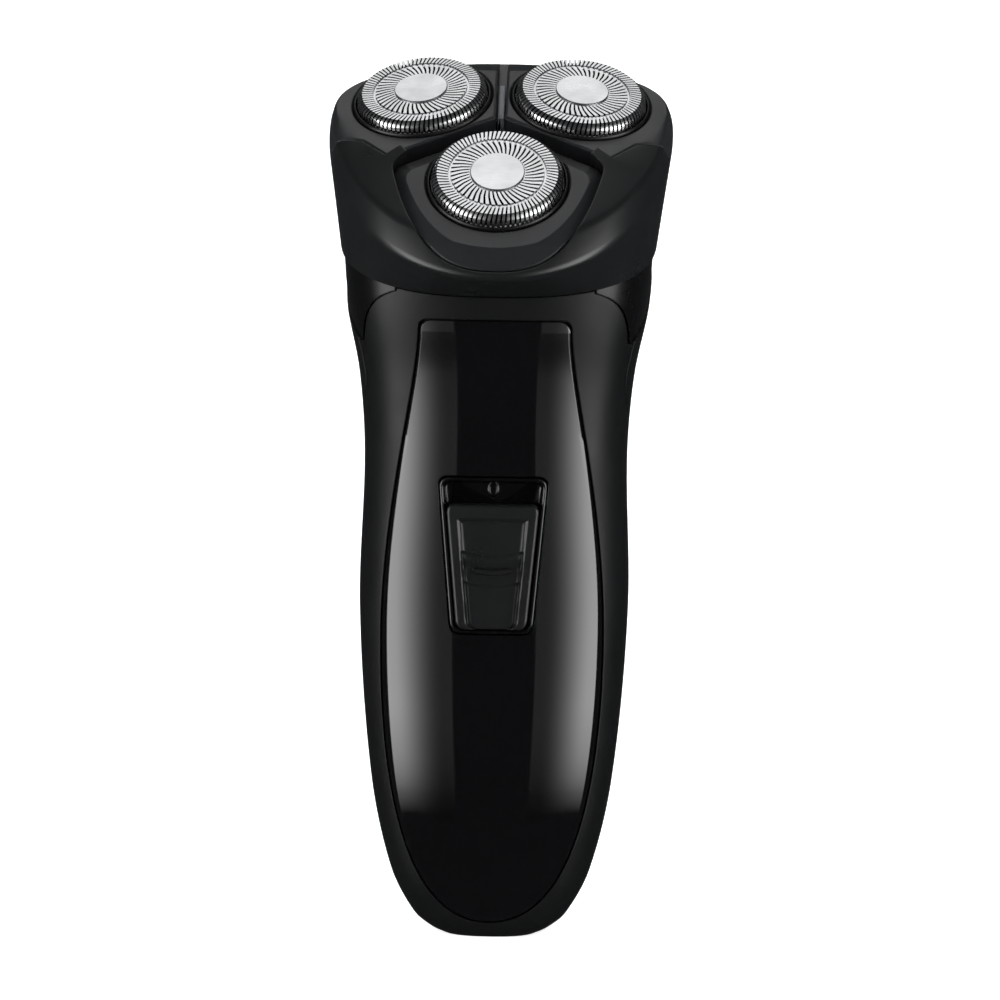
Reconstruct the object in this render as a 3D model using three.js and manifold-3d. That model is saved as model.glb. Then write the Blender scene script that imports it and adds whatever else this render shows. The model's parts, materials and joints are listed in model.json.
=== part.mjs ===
// Rotary electric shaver: a cordless handle with a lift-off head that carries three cutters.
// Millimetres, +Z up along the handle, the switch side faces -Y, +X is to the right.

import * as THREE from 'three';
import { ParametricGeometry } from 'three/addons/geometries/ParametricGeometry.js';
import { mergeVertices } from 'three/addons/utils/BufferGeometryUtils.js';
import Module from 'manifold-3d';

const wasm = await Module();
wasm.setup();

// ---------------------------------------------------------------- driving dimensions

const WALL = 2.4; // thickness of the moulded shells
const GAP = 0.3; // clearance between pieces that sit side by side
const FAR = 90; // longer than any piece, for cutting blocks
const ROUND = 32; // facets around a handle or head section
const FINE = 20; // facets around a turned piece
const SMOOTHING = 0.03; // facets that stray less than this from their neighbours are joined

// Handle sections, foot to neck: height, half width, and the reach to the front and to the back.
const STATIONS = [
  { z: 0, side: 8.6, front: 7.5, back: 7.5 },
  { z: 1, side: 10.8, front: 9.0, back: 9.4 },
  { z: 3.6, side: 14.0, front: 10.9, back: 11.6 },
  { z: 11.8, side: 18.3, front: 13.6, back: 14.6 },
  { z: 29, side: 22.1, front: 15.8, back: 17.4 },
  { z: 60, side: 24.5, front: 17.2, back: 19.0 },
  { z: 88, side: 23.9, front: 18.2, back: 19.8 },
  { z: 103, side: 25.0, front: 19.6, back: 21.0 },
  { z: 115, side: 27.4, front: 21.4, back: 22.4 },
  { z: 126, side: 28.4, front: 22.4, back: 23.9 },
  { z: 138, side: 28.8, front: 23.0, back: 24.8 },
];
const FRONT_POWER = 2.5; // superellipse power of the front half of a section
const BACK_POWER = 3.6; // the back half is squarer

// Joint between handle and head, and the head's own plane.
const JOINT = { tilt: 23.3, y: -21.6, z: 117.85 };
const HEAD = { tilt: 34, y: -4, z: 149.2 };
const COLLAR = { tilt: 34, y: -9, z: 109.7 }; // lower edge of the glossy collar
const PARTING = { low: 1, high: -9, start: 86, end: 104 }; // line where the two shells meet, in YZ
const SHOULDER = { inner: 17.6, outer: 23.6, top: 118.5, bottom: 109 }; // front shell's round shoulders

// Head outline: a half ellipse to the front and a squarer one to the back, joined at the widest place.
const HEAD_BACK_POWER = 2.4;
const CREASE = { side: 31.4, front: 45, back: 21.2, centre: 7, depth: -8 };
const RIM = { side: 30.4, front: 40, back: 14.4, centre: 7, depth: -3.9 };
const PLATEAU = { side: 16, front: 20, back: 12, centre: 0, depth: 0.8 };
const PETAL = { tilt: 6.7, face: -2.3, base: -7.1, notch: 0.85, low: -36.6 };

const CUTTER_CIRCLE = 16.6; // radius on which the three cutters sit
const CUTTER_ANGLES = { left: 150, right: 30, front: -90 };
const CAP = { radius: 11.95, top: 2.3, bevel: 1.0, bottom: -1.8, skin: 0.7, disc: 5.0 };
const CAP_GROOVE = { inner: CAP.radius - 3.65, outer: CAP.radius - 3.05, depth: 0.4, dish: 0.15 };
const HOLDER = { radius: CAP.radius + 0.65, play: 0.2, top: 0.5, bottom: -4.2 };
const HOUSING = { wall: 1.5, ledge: -7.8, plate: 1.6, well: HOLDER.radius + 0.6 };
const CUTTER = {
  radius: CAP.radius - 1.55, base: 0.9, hub: 3.6, hubBottom: -5.2, socket: 2.5,
  blades: 12, bladeLength: 3.4, bladeThickness: 0.6,
};

const GEAR = {
  teeth: 22, pinionTeeth: 20, low: 1.0, high: 3.4, backlash: 0.16,
  addendum: 0.85, dedendum: 1.15, tipFlank: 22, rootFlank: 18,
  hub: 3.4, hubRise: 0.5, journal: 1.2, journalLow: -1.4,
};
const COVER = { play: 0.25, wall: 0.7, top: 5.2 };
const MOTOR = { radius: 7.6, length: 16, shaft: 1.0, shaftDepth: 6, flat: 6.7, tail: 2.4, tailHeight: 1 };
const DECK = { thickness: 2.0 };
const SPINDLE = {
  radius: 1.5, tip: 1.45, plunge: 1.6, foot: 2.9, flange: 2.3, flangeLow: 6.5, flangeHigh: 7.2,
};
const MOTOR_SCREW = { offset: 5.2, radius: 0.8, head: 1.6, depth: 5 };
const FRAME = { low: -11.6, high: -10.4, ring: 8.8, hole: 7.2, hub: 8 };
const LOCK = { radius: 4.6, low: -14.4, high: -11.9, pin: 1.5, pinTop: -8.8 };

const PANEL = { thickness: 1.2, top: 113.4, bottom: 3.4, topSide: 13.5, widestSide: 19.9, widestZ: 55.5 };
const SWITCH = { bottom: 57, top: 85.2, bottomSide: 7.25, topSide: 9.7, travel: 3.8, corner: 2 };
const BEZEL = { rim: 0.55, depth: 2.6, floor: 1.2, proud: 0.12 }; // the tray that the button slides in
const BUTTON = { bottom: 57.9, top: 80.4, bottomSide: 6.2, topSide: 8.3, proud: 1.3, corner: 1.6 };
const FIELD = { frame: 1.9, sunk: 0.7, lowFrame: 2.1, lowSunk: 1.1, lowTop: 65, lowBottom: 53, corner: 0.8 };
const STEM = { halfWidth: 2.2, halfHeight: 4 };
const GRIP = { width: 7.4, depth: 0.7, height: 1.5, z: 68.2, inset: 0.3 };
const CARRIAGE = { width: 12, depth: 1.6, height: 12, play: 0.15 };

const BATTERY = { radius: 7.2, length: 50, y: 5.5, z: 30, button: 2.6, buttonHeight: 1, facets: 28 };
const TAB = { width: 5, thickness: 0.5, reach: 2, gap: 0.4 };
const BOARD = { width: 27, height: 66, thickness: 1.6, y: -8.6, z: 26 };
const INLET = { width: 8.6, depth: 5.6, height: 11, wall: 1.2, pin: 0.9, pinLength: 4.6, y: -0.6 };
const CONTACT = { width: 5, height: 9, play: 0.05 };
const SCREW = { radius: 1.3, head: 2.5, headHeight: 1.8, boss: 2.9 };
const SCREW_SITES = {
  lower_left: { x: -11.5, z: 17 },
  lower_right: { x: 11.5, z: 17 },
  upper_left: { x: -16.5, z: 98 },
  upper_right: { x: 16.5, z: 98 },
};

// ---------------------------------------------------------------- materials

const material = (color, roughness, metalness = 0) =>
  new THREE.MeshStandardMaterial({ color, roughness, metalness });

const matteBlack = () => material(0x17181a, 0.55);
const satinBlack = () => material(0x1d1e20, 0.42);
const glossBlack = () => material(0x060607, 0.06);
const petalGrey = () => material(0x26282b, 0.5);
const steel = () => material(0xc9cbcd, 0.3, 1);
const darkSteel = () => material(0x77797c, 0.4, 1);
const greyPlastic = () => material(0x8c9092, 0.5);
const whitePlastic = () => material(0xe4e3dd, 0.45);
const boardGreen = () => material(0x1d5b34, 0.5);
const batteryGreen = () => material(0x2f7f5a, 0.4);
const brass = () => material(0xb08d3c, 0.35, 1);

// ---------------------------------------------------------------- solids and booleans

// Turns a closed geometry into a solid, dropping the slivers that a collapsed ring leaves.
function solid(geometry) {
  const bare = geometry.clone();
  for (const name of ['normal', 'uv']) {
    bare.deleteAttribute(name);
  }
  const merged = mergeVertices(bare, 1e-4);
  const index = merged.index.array;
  const triangles = [];
  for (let i = 0; i < index.length; i += 3) {
    const [a, b, c] = [index[i], index[i + 1], index[i + 2]];
    if (a !== b && b !== c && c !== a) {
      triangles.push(a, b, c);
    }
  }
  return new wasm.Manifold(new wasm.Mesh({
    numProp: 3,
    vertProperties: new Float32Array(merged.attributes.position.array),
    triVerts: new Uint32Array(triangles),
  }));
}

// Turns a solid back into a geometry, without facets finer than the smoothing tolerance.
function toGeometry(body) {
  const mesh = body.simplify(SMOOTHING).getMesh();
  const geometry = new THREE.BufferGeometry();
  geometry.setAttribute('position', new THREE.BufferAttribute(new Float32Array(mesh.vertProperties), 3));
  geometry.setIndex(new THREE.BufferAttribute(new Uint32Array(mesh.triVerts), 1));
  return geometry;
}

const unite = (...bodies) => bodies.reduce((sum, body) => sum.add(body));

// A geometry moved by the matrix of a frame.
const placed = (geometry, matrix) => geometry.clone().applyMatrix4(matrix);

function box(width, depth, height, x = 0, y = 0, z = 0) {
  return solid(new THREE.BoxGeometry(width, depth, height).translate(x, y, z));
}

// A cylinder along Z from z = low to z = high.
function post(radius, low, high, x = 0, y = 0, segments = FINE) {
  const geometry = new THREE.CylinderGeometry(radius, radius, high - low, segments);
  return solid(geometry.rotateX(Math.PI / 2).translate(x, y, (low + high) / 2));
}

// A shape turned about Z; the profile is a list of [radius, z] that starts and ends on the axis.
function turned(profile, segments = FINE) {
  const points = profile.map(([radius, z]) => new THREE.Vector2(radius, z));
  return solid(new THREE.LatheGeometry(points, segments).rotateX(Math.PI / 2));
}

// A shape in XY pushed up from z = low to z = high.
function prism(shape, low, high, curveSegments = 8) {
  const options = { depth: high - low, bevelEnabled: false, curveSegments };
  return solid(new THREE.ExtrudeGeometry(shape, options).translate(0, 0, low));
}

// A shape drawn in XZ and pushed along Y from y = near to y = far.
function frontPrism(shape, near, far, curveSegments = 8) {
  const options = { depth: far - near, bevelEnabled: false, curveSegments };
  return solid(new THREE.ExtrudeGeometry(shape, options).rotateX(Math.PI / 2).translate(0, far, 0));
}

// A shape drawn in YZ and pushed along X through the whole object.
function sidePrism(shape, curveSegments = 10) {
  const geometry = new THREE.ExtrudeGeometry(shape, { depth: 2 * FAR, bevelEnabled: false, curveSegments });
  const axes = new THREE.Matrix4().makeBasis(
    new THREE.Vector3(0, 1, 0),
    new THREE.Vector3(0, 0, 1),
    new THREE.Vector3(1, 0, 0),
  );
  return solid(geometry.applyMatrix4(axes).translate(-FAR, 0, 0));
}

// Skins a stack of closed rings; each ring is a function of the angle that gives a point.
function loft(rings, lowCentre, highCentre, segments = ROUND) {
  const last = rings.length + 1;
  const skin = (u, v, target) => {
    const level = Math.round(v * last);
    if (level === 0) {
      target.copy(lowCentre);
    } else if (level === last) {
      target.copy(highCentre);
    } else {
      target.copy(rings[level - 1](2 * Math.PI * (u % 1)));
    }
  };
  return solid(new ParametricGeometry(skin, segments, last));
}

// ---------------------------------------------------------------- frames

const degrees = (angle) => THREE.MathUtils.degToRad(angle);

// A frame at a point, turned about X so that its own Z leans to the front.
function tiltedFrame(x, y, z, tilt) {
  const turn = new THREE.Matrix4().makeRotationX(degrees(tilt));
  return new THREE.Matrix4().makeTranslation(x, y, z).multiply(turn);
}

const headFrame = tiltedFrame(0, HEAD.y, HEAD.z, HEAD.tilt);
const jointFrame = tiltedFrame(0, JOINT.y, JOINT.z, JOINT.tilt);

// Frame of one cutter: on the cutter circle, leaning outward by the petal tilt.
function cutterFrame(side) {
  const angle = degrees(CUTTER_ANGLES[side]);
  const place = new THREE.Matrix4().makeTranslation(
    CUTTER_CIRCLE * Math.cos(angle),
    CUTTER_CIRCLE * Math.sin(angle),
    PETAL.face,
  );
  const hinge = new THREE.Vector3(-Math.sin(angle), Math.cos(angle), 0);
  const lean = new THREE.Matrix4().makeRotationAxis(hinge, degrees(PETAL.tilt));
  return headFrame.clone().multiply(place).multiply(lean);
}

// Height of a plane that leans to the front, above a given y.
const planeHeight = (plane, y) => plane.z + (y - plane.y) * Math.tan(degrees(plane.tilt));

// A block that fills everything above such a plane, raised by an offset along its own normal.
function above(plane, offset = 0) {
  const frame = tiltedFrame(0, plane.y, plane.z, plane.tilt);
  const block = new THREE.BoxGeometry(2 * FAR, 4 * FAR, 2 * FAR).translate(0, 0, FAR + offset);
  return solid(placed(block, frame));
}

// ---------------------------------------------------------------- handle sections

const sectionCurve = new THREE.CubicInterpolant(
  new Float32Array(STATIONS.map((station) => station.z)),
  new Float32Array(STATIONS.flatMap((station) => [station.side, station.front, station.back])),
  3,
  new Float32Array(3),
);

function sectionAt(z) {
  const [side, front, back] = sectionCurve.evaluate(z);
  return { side, front, back };
}

const signedPower = (value, power) => Math.sign(value) * Math.abs(value) ** power;

// A point of the handle's outline at one height, counted from the middle of the front.
function sectionPoint(angle, z, inset = 0) {
  const { side, front, back } = sectionAt(z);
  const isFront = Math.cos(angle) > 0;
  const power = 2 / (isFront ? FRONT_POWER : BACK_POWER);
  const reach = (isFront ? front : back) - inset;
  const x = (side - inset) * signedPower(Math.sin(angle), power);
  return new THREE.Vector3(x, -reach * signedPower(Math.cos(angle), power), z);
}

// The handle's outer form, or the same form shrunk by an inset.
function handleForm(inset, bottom) {
  const top = STATIONS.at(-1).z;
  const heights = STATIONS.map((station) => station.z).filter((z) => z > bottom + 0.5);
  const rings = [bottom, ...heights].map((z) => (angle) => sectionPoint(angle, z, inset));
  return loft(rings, new THREE.Vector3(0, 0, bottom), new THREE.Vector3(0, 0, top));
}

// The same outline where the joint plane cuts it.
function neckPoint(angle, inset, raise) {
  let z = JOINT.z;
  for (let pass = 0; pass < 4; pass += 1) {
    z = planeHeight(JOINT, sectionPoint(angle, z, inset).y);
  }
  const lift = raise / Math.cos(degrees(JOINT.tilt));
  return sectionPoint(angle, z, inset).add(new THREE.Vector3(0, 0, lift));
}

const wallSolid = handleForm(0, 0).subtract(handleForm(WALL, WALL));

// Everything in front of the line where the two shells meet.
function frontRegion(offset = 0) {
  const shape = new THREE.Shape();
  const middle = (PARTING.start + PARTING.end) / 2;
  shape.moveTo(-FAR, -FAR);
  shape.lineTo(PARTING.low + offset, -FAR);
  shape.lineTo(PARTING.low + offset, PARTING.start);
  shape.bezierCurveTo(
    PARTING.low + offset, middle,
    PARTING.high + offset, middle,
    PARTING.high + offset, PARTING.end,
  );
  shape.lineTo(PARTING.high + offset, 2 * FAR);
  shape.lineTo(-FAR, 2 * FAR);
  return sidePrism(shape);
}

// The front shell's own area seen from the front: full width below, round shoulders at the top.
function shoulderRegion(offset = 0) {
  const { inner, outer, top, bottom } = SHOULDER;
  const shape = new THREE.Shape();
  shape.moveTo(-FAR, -FAR);
  shape.lineTo(FAR, -FAR);
  shape.lineTo(FAR, bottom);
  shape.lineTo(outer + offset, bottom);
  shape.bezierCurveTo(outer + offset, top - 2, inner + 3 + offset, top - 1, inner + offset, top);
  shape.lineTo(inner + offset, 2 * FAR);
  shape.lineTo(-inner - offset, 2 * FAR);
  shape.lineTo(-inner - offset, top);
  shape.bezierCurveTo(-inner - 3 - offset, top - 1, -outer - offset, top - 2, -outer - offset, bottom);
  shape.lineTo(-FAR, bottom);
  return frontPrism(shape, -FAR, FAR);
}

// ---------------------------------------------------------------- outlines on the front

// A tapering outline with round corners, wider at the top.
function taperShape(part, grow, corner) {
  const low = part.bottom - grow;
  const high = part.top + grow;
  const bottomSide = part.bottomSide + grow;
  const topSide = part.topSide + grow;
  const shape = new THREE.Shape();
  shape.moveTo(0, low);
  shape.lineTo(bottomSide - corner, low);
  shape.quadraticCurveTo(bottomSide, low, bottomSide + 0.2, low + corner);
  shape.lineTo(topSide - 0.1, high - corner);
  shape.quadraticCurveTo(topSide, high, topSide - corner, high);
  shape.lineTo(corner - topSide, high);
  shape.quadraticCurveTo(-topSide, high, 0.1 - topSide, high - corner);
  shape.lineTo(-bottomSide - 0.2, low + corner);
  shape.quadraticCurveTo(-bottomSide, low, corner - bottomSide, low);
  return shape;
}

// The glossy panel's outline: a long shield, widest below the switch, rounding in to the foot.
function panelShape(grow) {
  const { top, bottom, topSide, widestSide, widestZ } = PANEL;
  const high = top + grow;
  const low = bottom - grow;
  const side = topSide + grow;
  const wide = widestSide + grow;
  const shoulder = widestZ + 24;
  const half = (sign) => [
    [sign * side, high - 12, sign * wide, shoulder, sign * wide, widestZ],
    [sign * wide, widestZ - 26, sign * (side + 2), low, 0, low],
  ];
  const shape = new THREE.Shape();
  shape.moveTo(-side, high - 2);
  shape.quadraticCurveTo(-side, high, 2 - side, high);
  shape.lineTo(side - 2, high);
  shape.quadraticCurveTo(side, high, side, high - 2);
  for (const curve of half(1)) {
    shape.bezierCurveTo(...curve);
  }
  const [upper, lower] = half(-1);
  shape.bezierCurveTo(lower[2], lower[3], lower[0], lower[1], upper[4], upper[5]);
  shape.bezierCurveTo(upper[2], upper[3], upper[0], upper[1], -side, high - 2);
  return shape;
}

const panelPocket = frontPrism(panelShape(GAP), -FAR, 0, 10)
  .subtract(handleForm(PANEL.thickness + GAP, -5));
const switchOpening = frontPrism(taperShape(SWITCH, GAP, SWITCH.corner), -FAR, 0);

// ---------------------------------------------------------------- shells and collar

const belowJoint = above(JOINT, -GAP / 2);
const aboveCollar = above(COLLAR);

function screwSites() {
  return Object.entries(SCREW_SITES).map(([name, { x, z }]) => ({ name, x, z }));
}

// Screws run along Y, from the back shell into a boss of the front shell.
function alongY(radius, near, far, site, segments = 18) {
  const geometry = new THREE.CylinderGeometry(radius, radius, far - near, segments);
  return solid(geometry.translate(site.x, (near + far) / 2, site.z));
}

// How far back the outer face lies at a place of the back shell.
function backFace({ x, z }) {
  const { side, back } = sectionAt(z);
  return back * (1 - Math.abs(x / side) ** BACK_POWER) ** (1 / BACK_POWER);
}

const screwHeadY = (site) => backFace(site) - 3.4;
const screwTipY = -5;

function inletBlock(grow, low, high) {
  return box(INLET.width + 2 * grow, INLET.depth + 2 * grow, high - low, 0, INLET.y, (low + high) / 2);
}

const inletSeat = inletBlock(INLET.wall + GAP, -1, INLET.height + INLET.wall);

function frontShell() {
  const bosses = screwSites().map((site) => {
    const boss = alongY(SCREW.boss, -FAR, PARTING.low - 0.4, site);
    return boss.intersect(handleForm(WALL / 2, 0)).intersect(frontRegion(-0.4));
  });
  const bores = screwSites().map((site) => alongY(SCREW.radius + 0.15, screwTipY - 0.6, FAR, site));
  return unite(wallSolid.intersect(frontRegion(-GAP / 2)), ...bosses)
    .subtract(belowJoint)
    .intersect(shoulderRegion())
    .subtract(panelPocket)
    .subtract(switchOpening)
    .subtract(inletSeat)
    .subtract(unite(...bores));
}

function rearShell() {
  const bosses = screwSites().map((site) => {
    const boss = alongY(SCREW.boss + 0.9, PARTING.low + GAP, FAR, site);
    return boss.intersect(handleForm(WALL / 2, 0)).subtract(frontRegion(GAP));
  });
  const bores = screwSites().map((site) => {
    const shank = alongY(SCREW.radius + 0.25, -FAR, FAR, site);
    return shank.add(alongY(SCREW.head + 0.4, screwHeadY(site) - SCREW.headHeight, FAR, site));
  });
  return unite(wallSolid.subtract(frontRegion(GAP / 2)), ...bosses)
    .subtract(above(COLLAR, -GAP))
    .subtract(inletSeat)
    .subtract(unite(...bores));
}

function collar() {
  const ring = handleForm(0.35, 60).subtract(handleForm(WALL + 0.35, 50));
  const shellFront = shoulderRegion(GAP).intersect(frontRegion(GAP));
  return ring.intersect(aboveCollar).subtract(belowJoint).subtract(shellFront);
}

function frontPanel() {
  return frontPrism(panelShape(0), -FAR, 0, 10)
    .intersect(handleForm(0.05, 0))
    .subtract(handleForm(PANEL.thickness, -5))
    .subtract(switchOpening);
}

function caseScrew(site) {
  const head = alongY(SCREW.head, screwHeadY(site) - SCREW.headHeight + GAP, screwHeadY(site), site);
  const shank = alongY(SCREW.radius, screwTipY, screwHeadY(site) - 1, site);
  const slot = box(2 * SCREW.head, 1.6, 0.7, site.x, screwHeadY(site), site.z);
  return head.add(shank).subtract(slot);
}

// ---------------------------------------------------------------- switch

const switchMiddle = (SWITCH.bottom + SWITCH.top) / 2;
const switchFace = -sectionAt(switchMiddle).front;
const bezelFloor = switchFace + BEZEL.depth;
const bezelBack = bezelFloor + BEZEL.floor;
const carriageBack = bezelBack + GAP + CARRIAGE.depth;
const stemZ = (BUTTON.bottom + BUTTON.top) / 2;
const buttonFace = switchFace - BUTTON.proud;

// A tapered tray with a rim flush with the panel, and a slot for the button's stem.
function switchBezel() {
  const outer = frontPrism(taperShape(SWITCH, 0, SWITCH.corner), -FAR, bezelBack);
  const inner = frontPrism(taperShape(SWITCH, -BEZEL.rim, SWITCH.corner - 0.4), -FAR, bezelFloor);
  const slotTop = stemZ + STEM.halfHeight + SWITCH.travel + GAP;
  const slotBottom = stemZ - STEM.halfHeight - GAP;
  const slot = box(
    2 * (STEM.halfWidth + GAP), 2 * BEZEL.depth, slotTop - slotBottom,
    0, bezelFloor, (slotTop + slotBottom) / 2,
  );
  return outer.intersect(handleForm(-BEZEL.proud, 0)).subtract(inner).subtract(slot);
}

// The thumb button: a tapered pad with a sunk field that is deeper at its lower end, on a square stem.
function switchButton() {
  const back = bezelFloor - 0.25;
  const pad = frontPrism(taperShape(BUTTON, 0, BUTTON.corner), buttonFace, back);
  const field = frontPrism(taperShape(BUTTON, -FIELD.frame, FIELD.corner), -FAR, buttonFace + FIELD.sunk);
  const deepField = frontPrism(
    taperShape(BUTTON, -FIELD.lowFrame, FIELD.corner), -FAR, buttonFace + FIELD.lowSunk,
  );
  const lowPart = box(
    FAR, FAR, FIELD.lowTop - FIELD.lowBottom, 0, buttonFace, (FIELD.lowTop + FIELD.lowBottom) / 2,
  );
  const stemDepth = carriageBack - back;
  const stem = box(2 * STEM.halfWidth, stemDepth, 2 * STEM.halfHeight, 0, back + stemDepth / 2, stemZ);
  return pad.subtract(field).subtract(deepField.intersect(lowPart)).add(stem);
}

// Bar across the button's field that the thumb pushes on.
function gripBar() {
  return box(GRIP.width, GRIP.depth, GRIP.height, 0, buttonFace + GRIP.inset, GRIP.z);
}

const boardFront = BOARD.y - BOARD.thickness / 2;

// The carriage clips behind the bezel on the stem and carries the contact along the board.
function switchCarriage() {
  const { width, depth, height, play } = CARRIAGE;
  const plate = box(width, depth, height, 0, carriageBack - depth / 2, stemZ);
  const hole = box(2 * (STEM.halfWidth + play), FAR, 2 * (STEM.halfHeight + play), 0, carriageBack, stemZ);
  return plate.subtract(hole);
}

// ---------------------------------------------------------------- inside the handle

function circuitBoard() {
  const plate = box(BOARD.width, BOARD.thickness, BOARD.height, 0, BOARD.y, BOARD.z + BOARD.height / 2);
  const notch = box(5, 4, 4, 0, BOARD.y, BOARD.z);
  return plate.subtract(notch);
}

function slideContact() {
  const depth = boardFront - carriageBack - 2 * CONTACT.play;
  return box(CONTACT.width, depth, CONTACT.height, 0, (boardFront + carriageBack) / 2, stemZ);
}

function battery() {
  const { radius, length, button, buttonHeight, facets } = BATTERY;
  const low = BATTERY.z;
  const high = low + length;
  const profile = [
    [0, low], [radius, low], [radius, high], [button, high],
    [button, high + buttonHeight], [0, high + buttonHeight],
  ];
  const geometry = new THREE.LatheGeometry(profile.map(([r, z]) => new THREE.Vector2(r, z)), facets);
  return solid(geometry.rotateX(Math.PI / 2).translate(0, BATTERY.y, 0));
}

function batteryTab(z) {
  const back = BATTERY.y + TAB.reach;
  const depth = back - (BOARD.y + BOARD.thickness / 2) - GAP;
  return box(TAB.width, depth, TAB.thickness, 0, back - depth / 2, z);
}

function chargeInlet() {
  const { height, wall, width, depth } = INLET;
  const sleeve = inletBlock(wall, 0, height).subtract(inletBlock(0, -1, height - wall));
  const pinHoles = [-1, 1].map((side) => post(INLET.pin + 0.05, 0, FAR, side * width / 4, INLET.y, 16));
  const key = box(1.2, depth / 4, height - wall - 0.5, 0, INLET.y + depth / 2, (height + wall) / 2);
  return sleeve.subtract(unite(...pinHoles)).add(key.intersect(inletBlock(wall / 2, 1, height)));
}

function inletPin(side) {
  const low = INLET.height - INLET.wall - INLET.pinLength;
  return post(INLET.pin, low, INLET.height + 4, side * INLET.width / 4, INLET.y, 16);
}

// ---------------------------------------------------------------- drive

const SIDES = Object.keys(CUTTER_ANGLES);

// Where each spindle meets its cutter, seen in the joint's own frame.
function spindleTop(side) {
  const meeting = new THREE.Vector3(0, 0, CUTTER.hubBottom + SPINDLE.plunge);
  return meeting.applyMatrix4(cutterFrame(side)).applyMatrix4(jointFrame.clone().invert());
}

// The motor sits where it is equally far from the three spindles.
const frontSpindle = spindleTop('front');
const rearSpindle = spindleTop('right');
const spread = rearSpindle.y - frontSpindle.y;
const centreDistance = (rearSpindle.x ** 2 + spread ** 2) / (2 * spread);
const motorSpot = new THREE.Vector2(0, frontSpindle.y + centreDistance);
const gearModule = (2 * centreDistance) / (GEAR.teeth + GEAR.pinionTeeth);

const inJoint = (body) => body.transform(jointFrame.toArray());
const inJointAt = (body, x, y) => inJoint(body.translate([x, y, 0]));

// A spur gear outline with straight flanks; a tooth is centred on the given angle.
function gearShape(teeth, phase) {
  const pitch = (gearModule * teeth) / 2;
  const outer = pitch + GEAR.addendum * gearModule;
  const root = pitch - GEAR.dedendum * gearModule;
  const halfTooth = (Math.PI * gearModule - GEAR.backlash) / 4;
  const halfTip = halfTooth - GEAR.addendum * gearModule * Math.tan(degrees(GEAR.tipFlank));
  const halfRoot = halfTooth + 1.1 * gearModule * Math.tan(degrees(GEAR.rootFlank));
  const shape = new THREE.Shape();
  for (let tooth = 0; tooth < teeth; tooth += 1) {
    const middle = phase + (2 * Math.PI * tooth) / teeth;
    const corners = [[root, -halfRoot], [outer, -halfTip], [outer, halfTip], [root, halfRoot]];
    for (const [radius, arc] of corners) {
      const angle = middle + arc / radius;
      const x = radius * Math.cos(angle);
      const y = radius * Math.sin(angle);
      if (tooth === 0 && radius === root && arc < 0) {
        shape.moveTo(x, y);
      } else {
        shape.lineTo(x, y);
      }
    }
  }
  return shape;
}

// Phase that puts a gap of the gear over the pinion's tooth on the line between their centres.
function gearPhase(spot) {
  const bearing = Math.atan2(spot.y - motorSpot.y, spot.x - motorSpot.x);
  const past = (bearing * GEAR.pinionTeeth) / (2 * Math.PI);
  return bearing + Math.PI + ((past + 0.5) * 2 * Math.PI) / GEAR.teeth;
}

function driveGear(side) {
  const spot = spindleTop(side);
  const wheel = prism(gearShape(GEAR.teeth, gearPhase(spot)), GEAR.low, GEAR.high);
  const hub = post(GEAR.hub, GAP, GEAR.high + GEAR.hubRise);
  const journal = post(GEAR.journal, GEAR.journalLow, GEAR.low);
  const bore = post(SPINDLE.radius + 0.2, GEAR.low + 0.4, FAR, 0, 0, 16);
  return inJointAt(unite(wheel, hub, journal).subtract(bore), spot.x, spot.y);
}

function driveSpindle(side) {
  const spot = spindleTop(side);
  const shank = post(SPINDLE.radius, SPINDLE.foot, spot.z - 1, 0, 0, 10);
  const flange = post(SPINDLE.flange, SPINDLE.flangeLow, SPINDLE.flangeHigh, 0, 0, 14);
  const tip = solid(new THREE.SphereGeometry(SPINDLE.tip, 10, 6).translate(0, 0, spot.z - 0.6));
  return inJointAt(unite(shank, flange, tip), spot.x, spot.y);
}

function drivePinion() {
  const wheel = prism(gearShape(GEAR.pinionTeeth, 0), GEAR.low - 0.3, GEAR.high);
  const shaft = post(MOTOR.shaft, -DECK.thickness - MOTOR.shaftDepth, GEAR.high + 0.6, 0, 0, 16);
  return inJointAt(wheel.add(shaft), motorSpot.x, motorSpot.y);
}

function motor() {
  const top = -DECK.thickness - GAP;
  const can = post(MOTOR.radius, top - MOTOR.length, top);
  const bore = post(MOTOR.shaft + 0.2, -DECK.thickness - MOTOR.shaftDepth - 0.4, FAR, 0, 0, 16);
  const tail = post(MOTOR.tail, top - MOTOR.length - MOTOR.tailHeight, top - MOTOR.length);
  const sides = box(2 * MOTOR.radius + 1, 2 * MOTOR.flat, 3 * MOTOR.length);
  return inJointAt(can.intersect(sides).add(tail).subtract(bore), motorSpot.x, motorSpot.y);
}

// Screws sunk in the deck hold the motor on either side of its shaft.
function motorScrew(sign) {
  const head = post(MOTOR_SCREW.head, -1, -0.1, 0, 0, 16);
  const shank = post(MOTOR_SCREW.radius, -MOTOR_SCREW.depth, -0.5, 0, 0, 12);
  const slot = box(3 * MOTOR_SCREW.head, 0.5, 0.6, 0, 0, -0.1);
  const body = head.add(shank).subtract(slot);
  return inJointAt(body, motorSpot.x + sign * MOTOR_SCREW.offset, motorSpot.y);
}

function motorWithScrewHoles() {
  const holes = [-1, 1].map((sign) => {
    const hole = post(MOTOR_SCREW.radius + 0.1, -MOTOR_SCREW.depth - 0.3, FAR, 0, 0, 12);
    return inJointAt(hole, motorSpot.x + sign * MOTOR_SCREW.offset, motorSpot.y);
  });
  return motor().subtract(unite(...holes));
}

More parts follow.
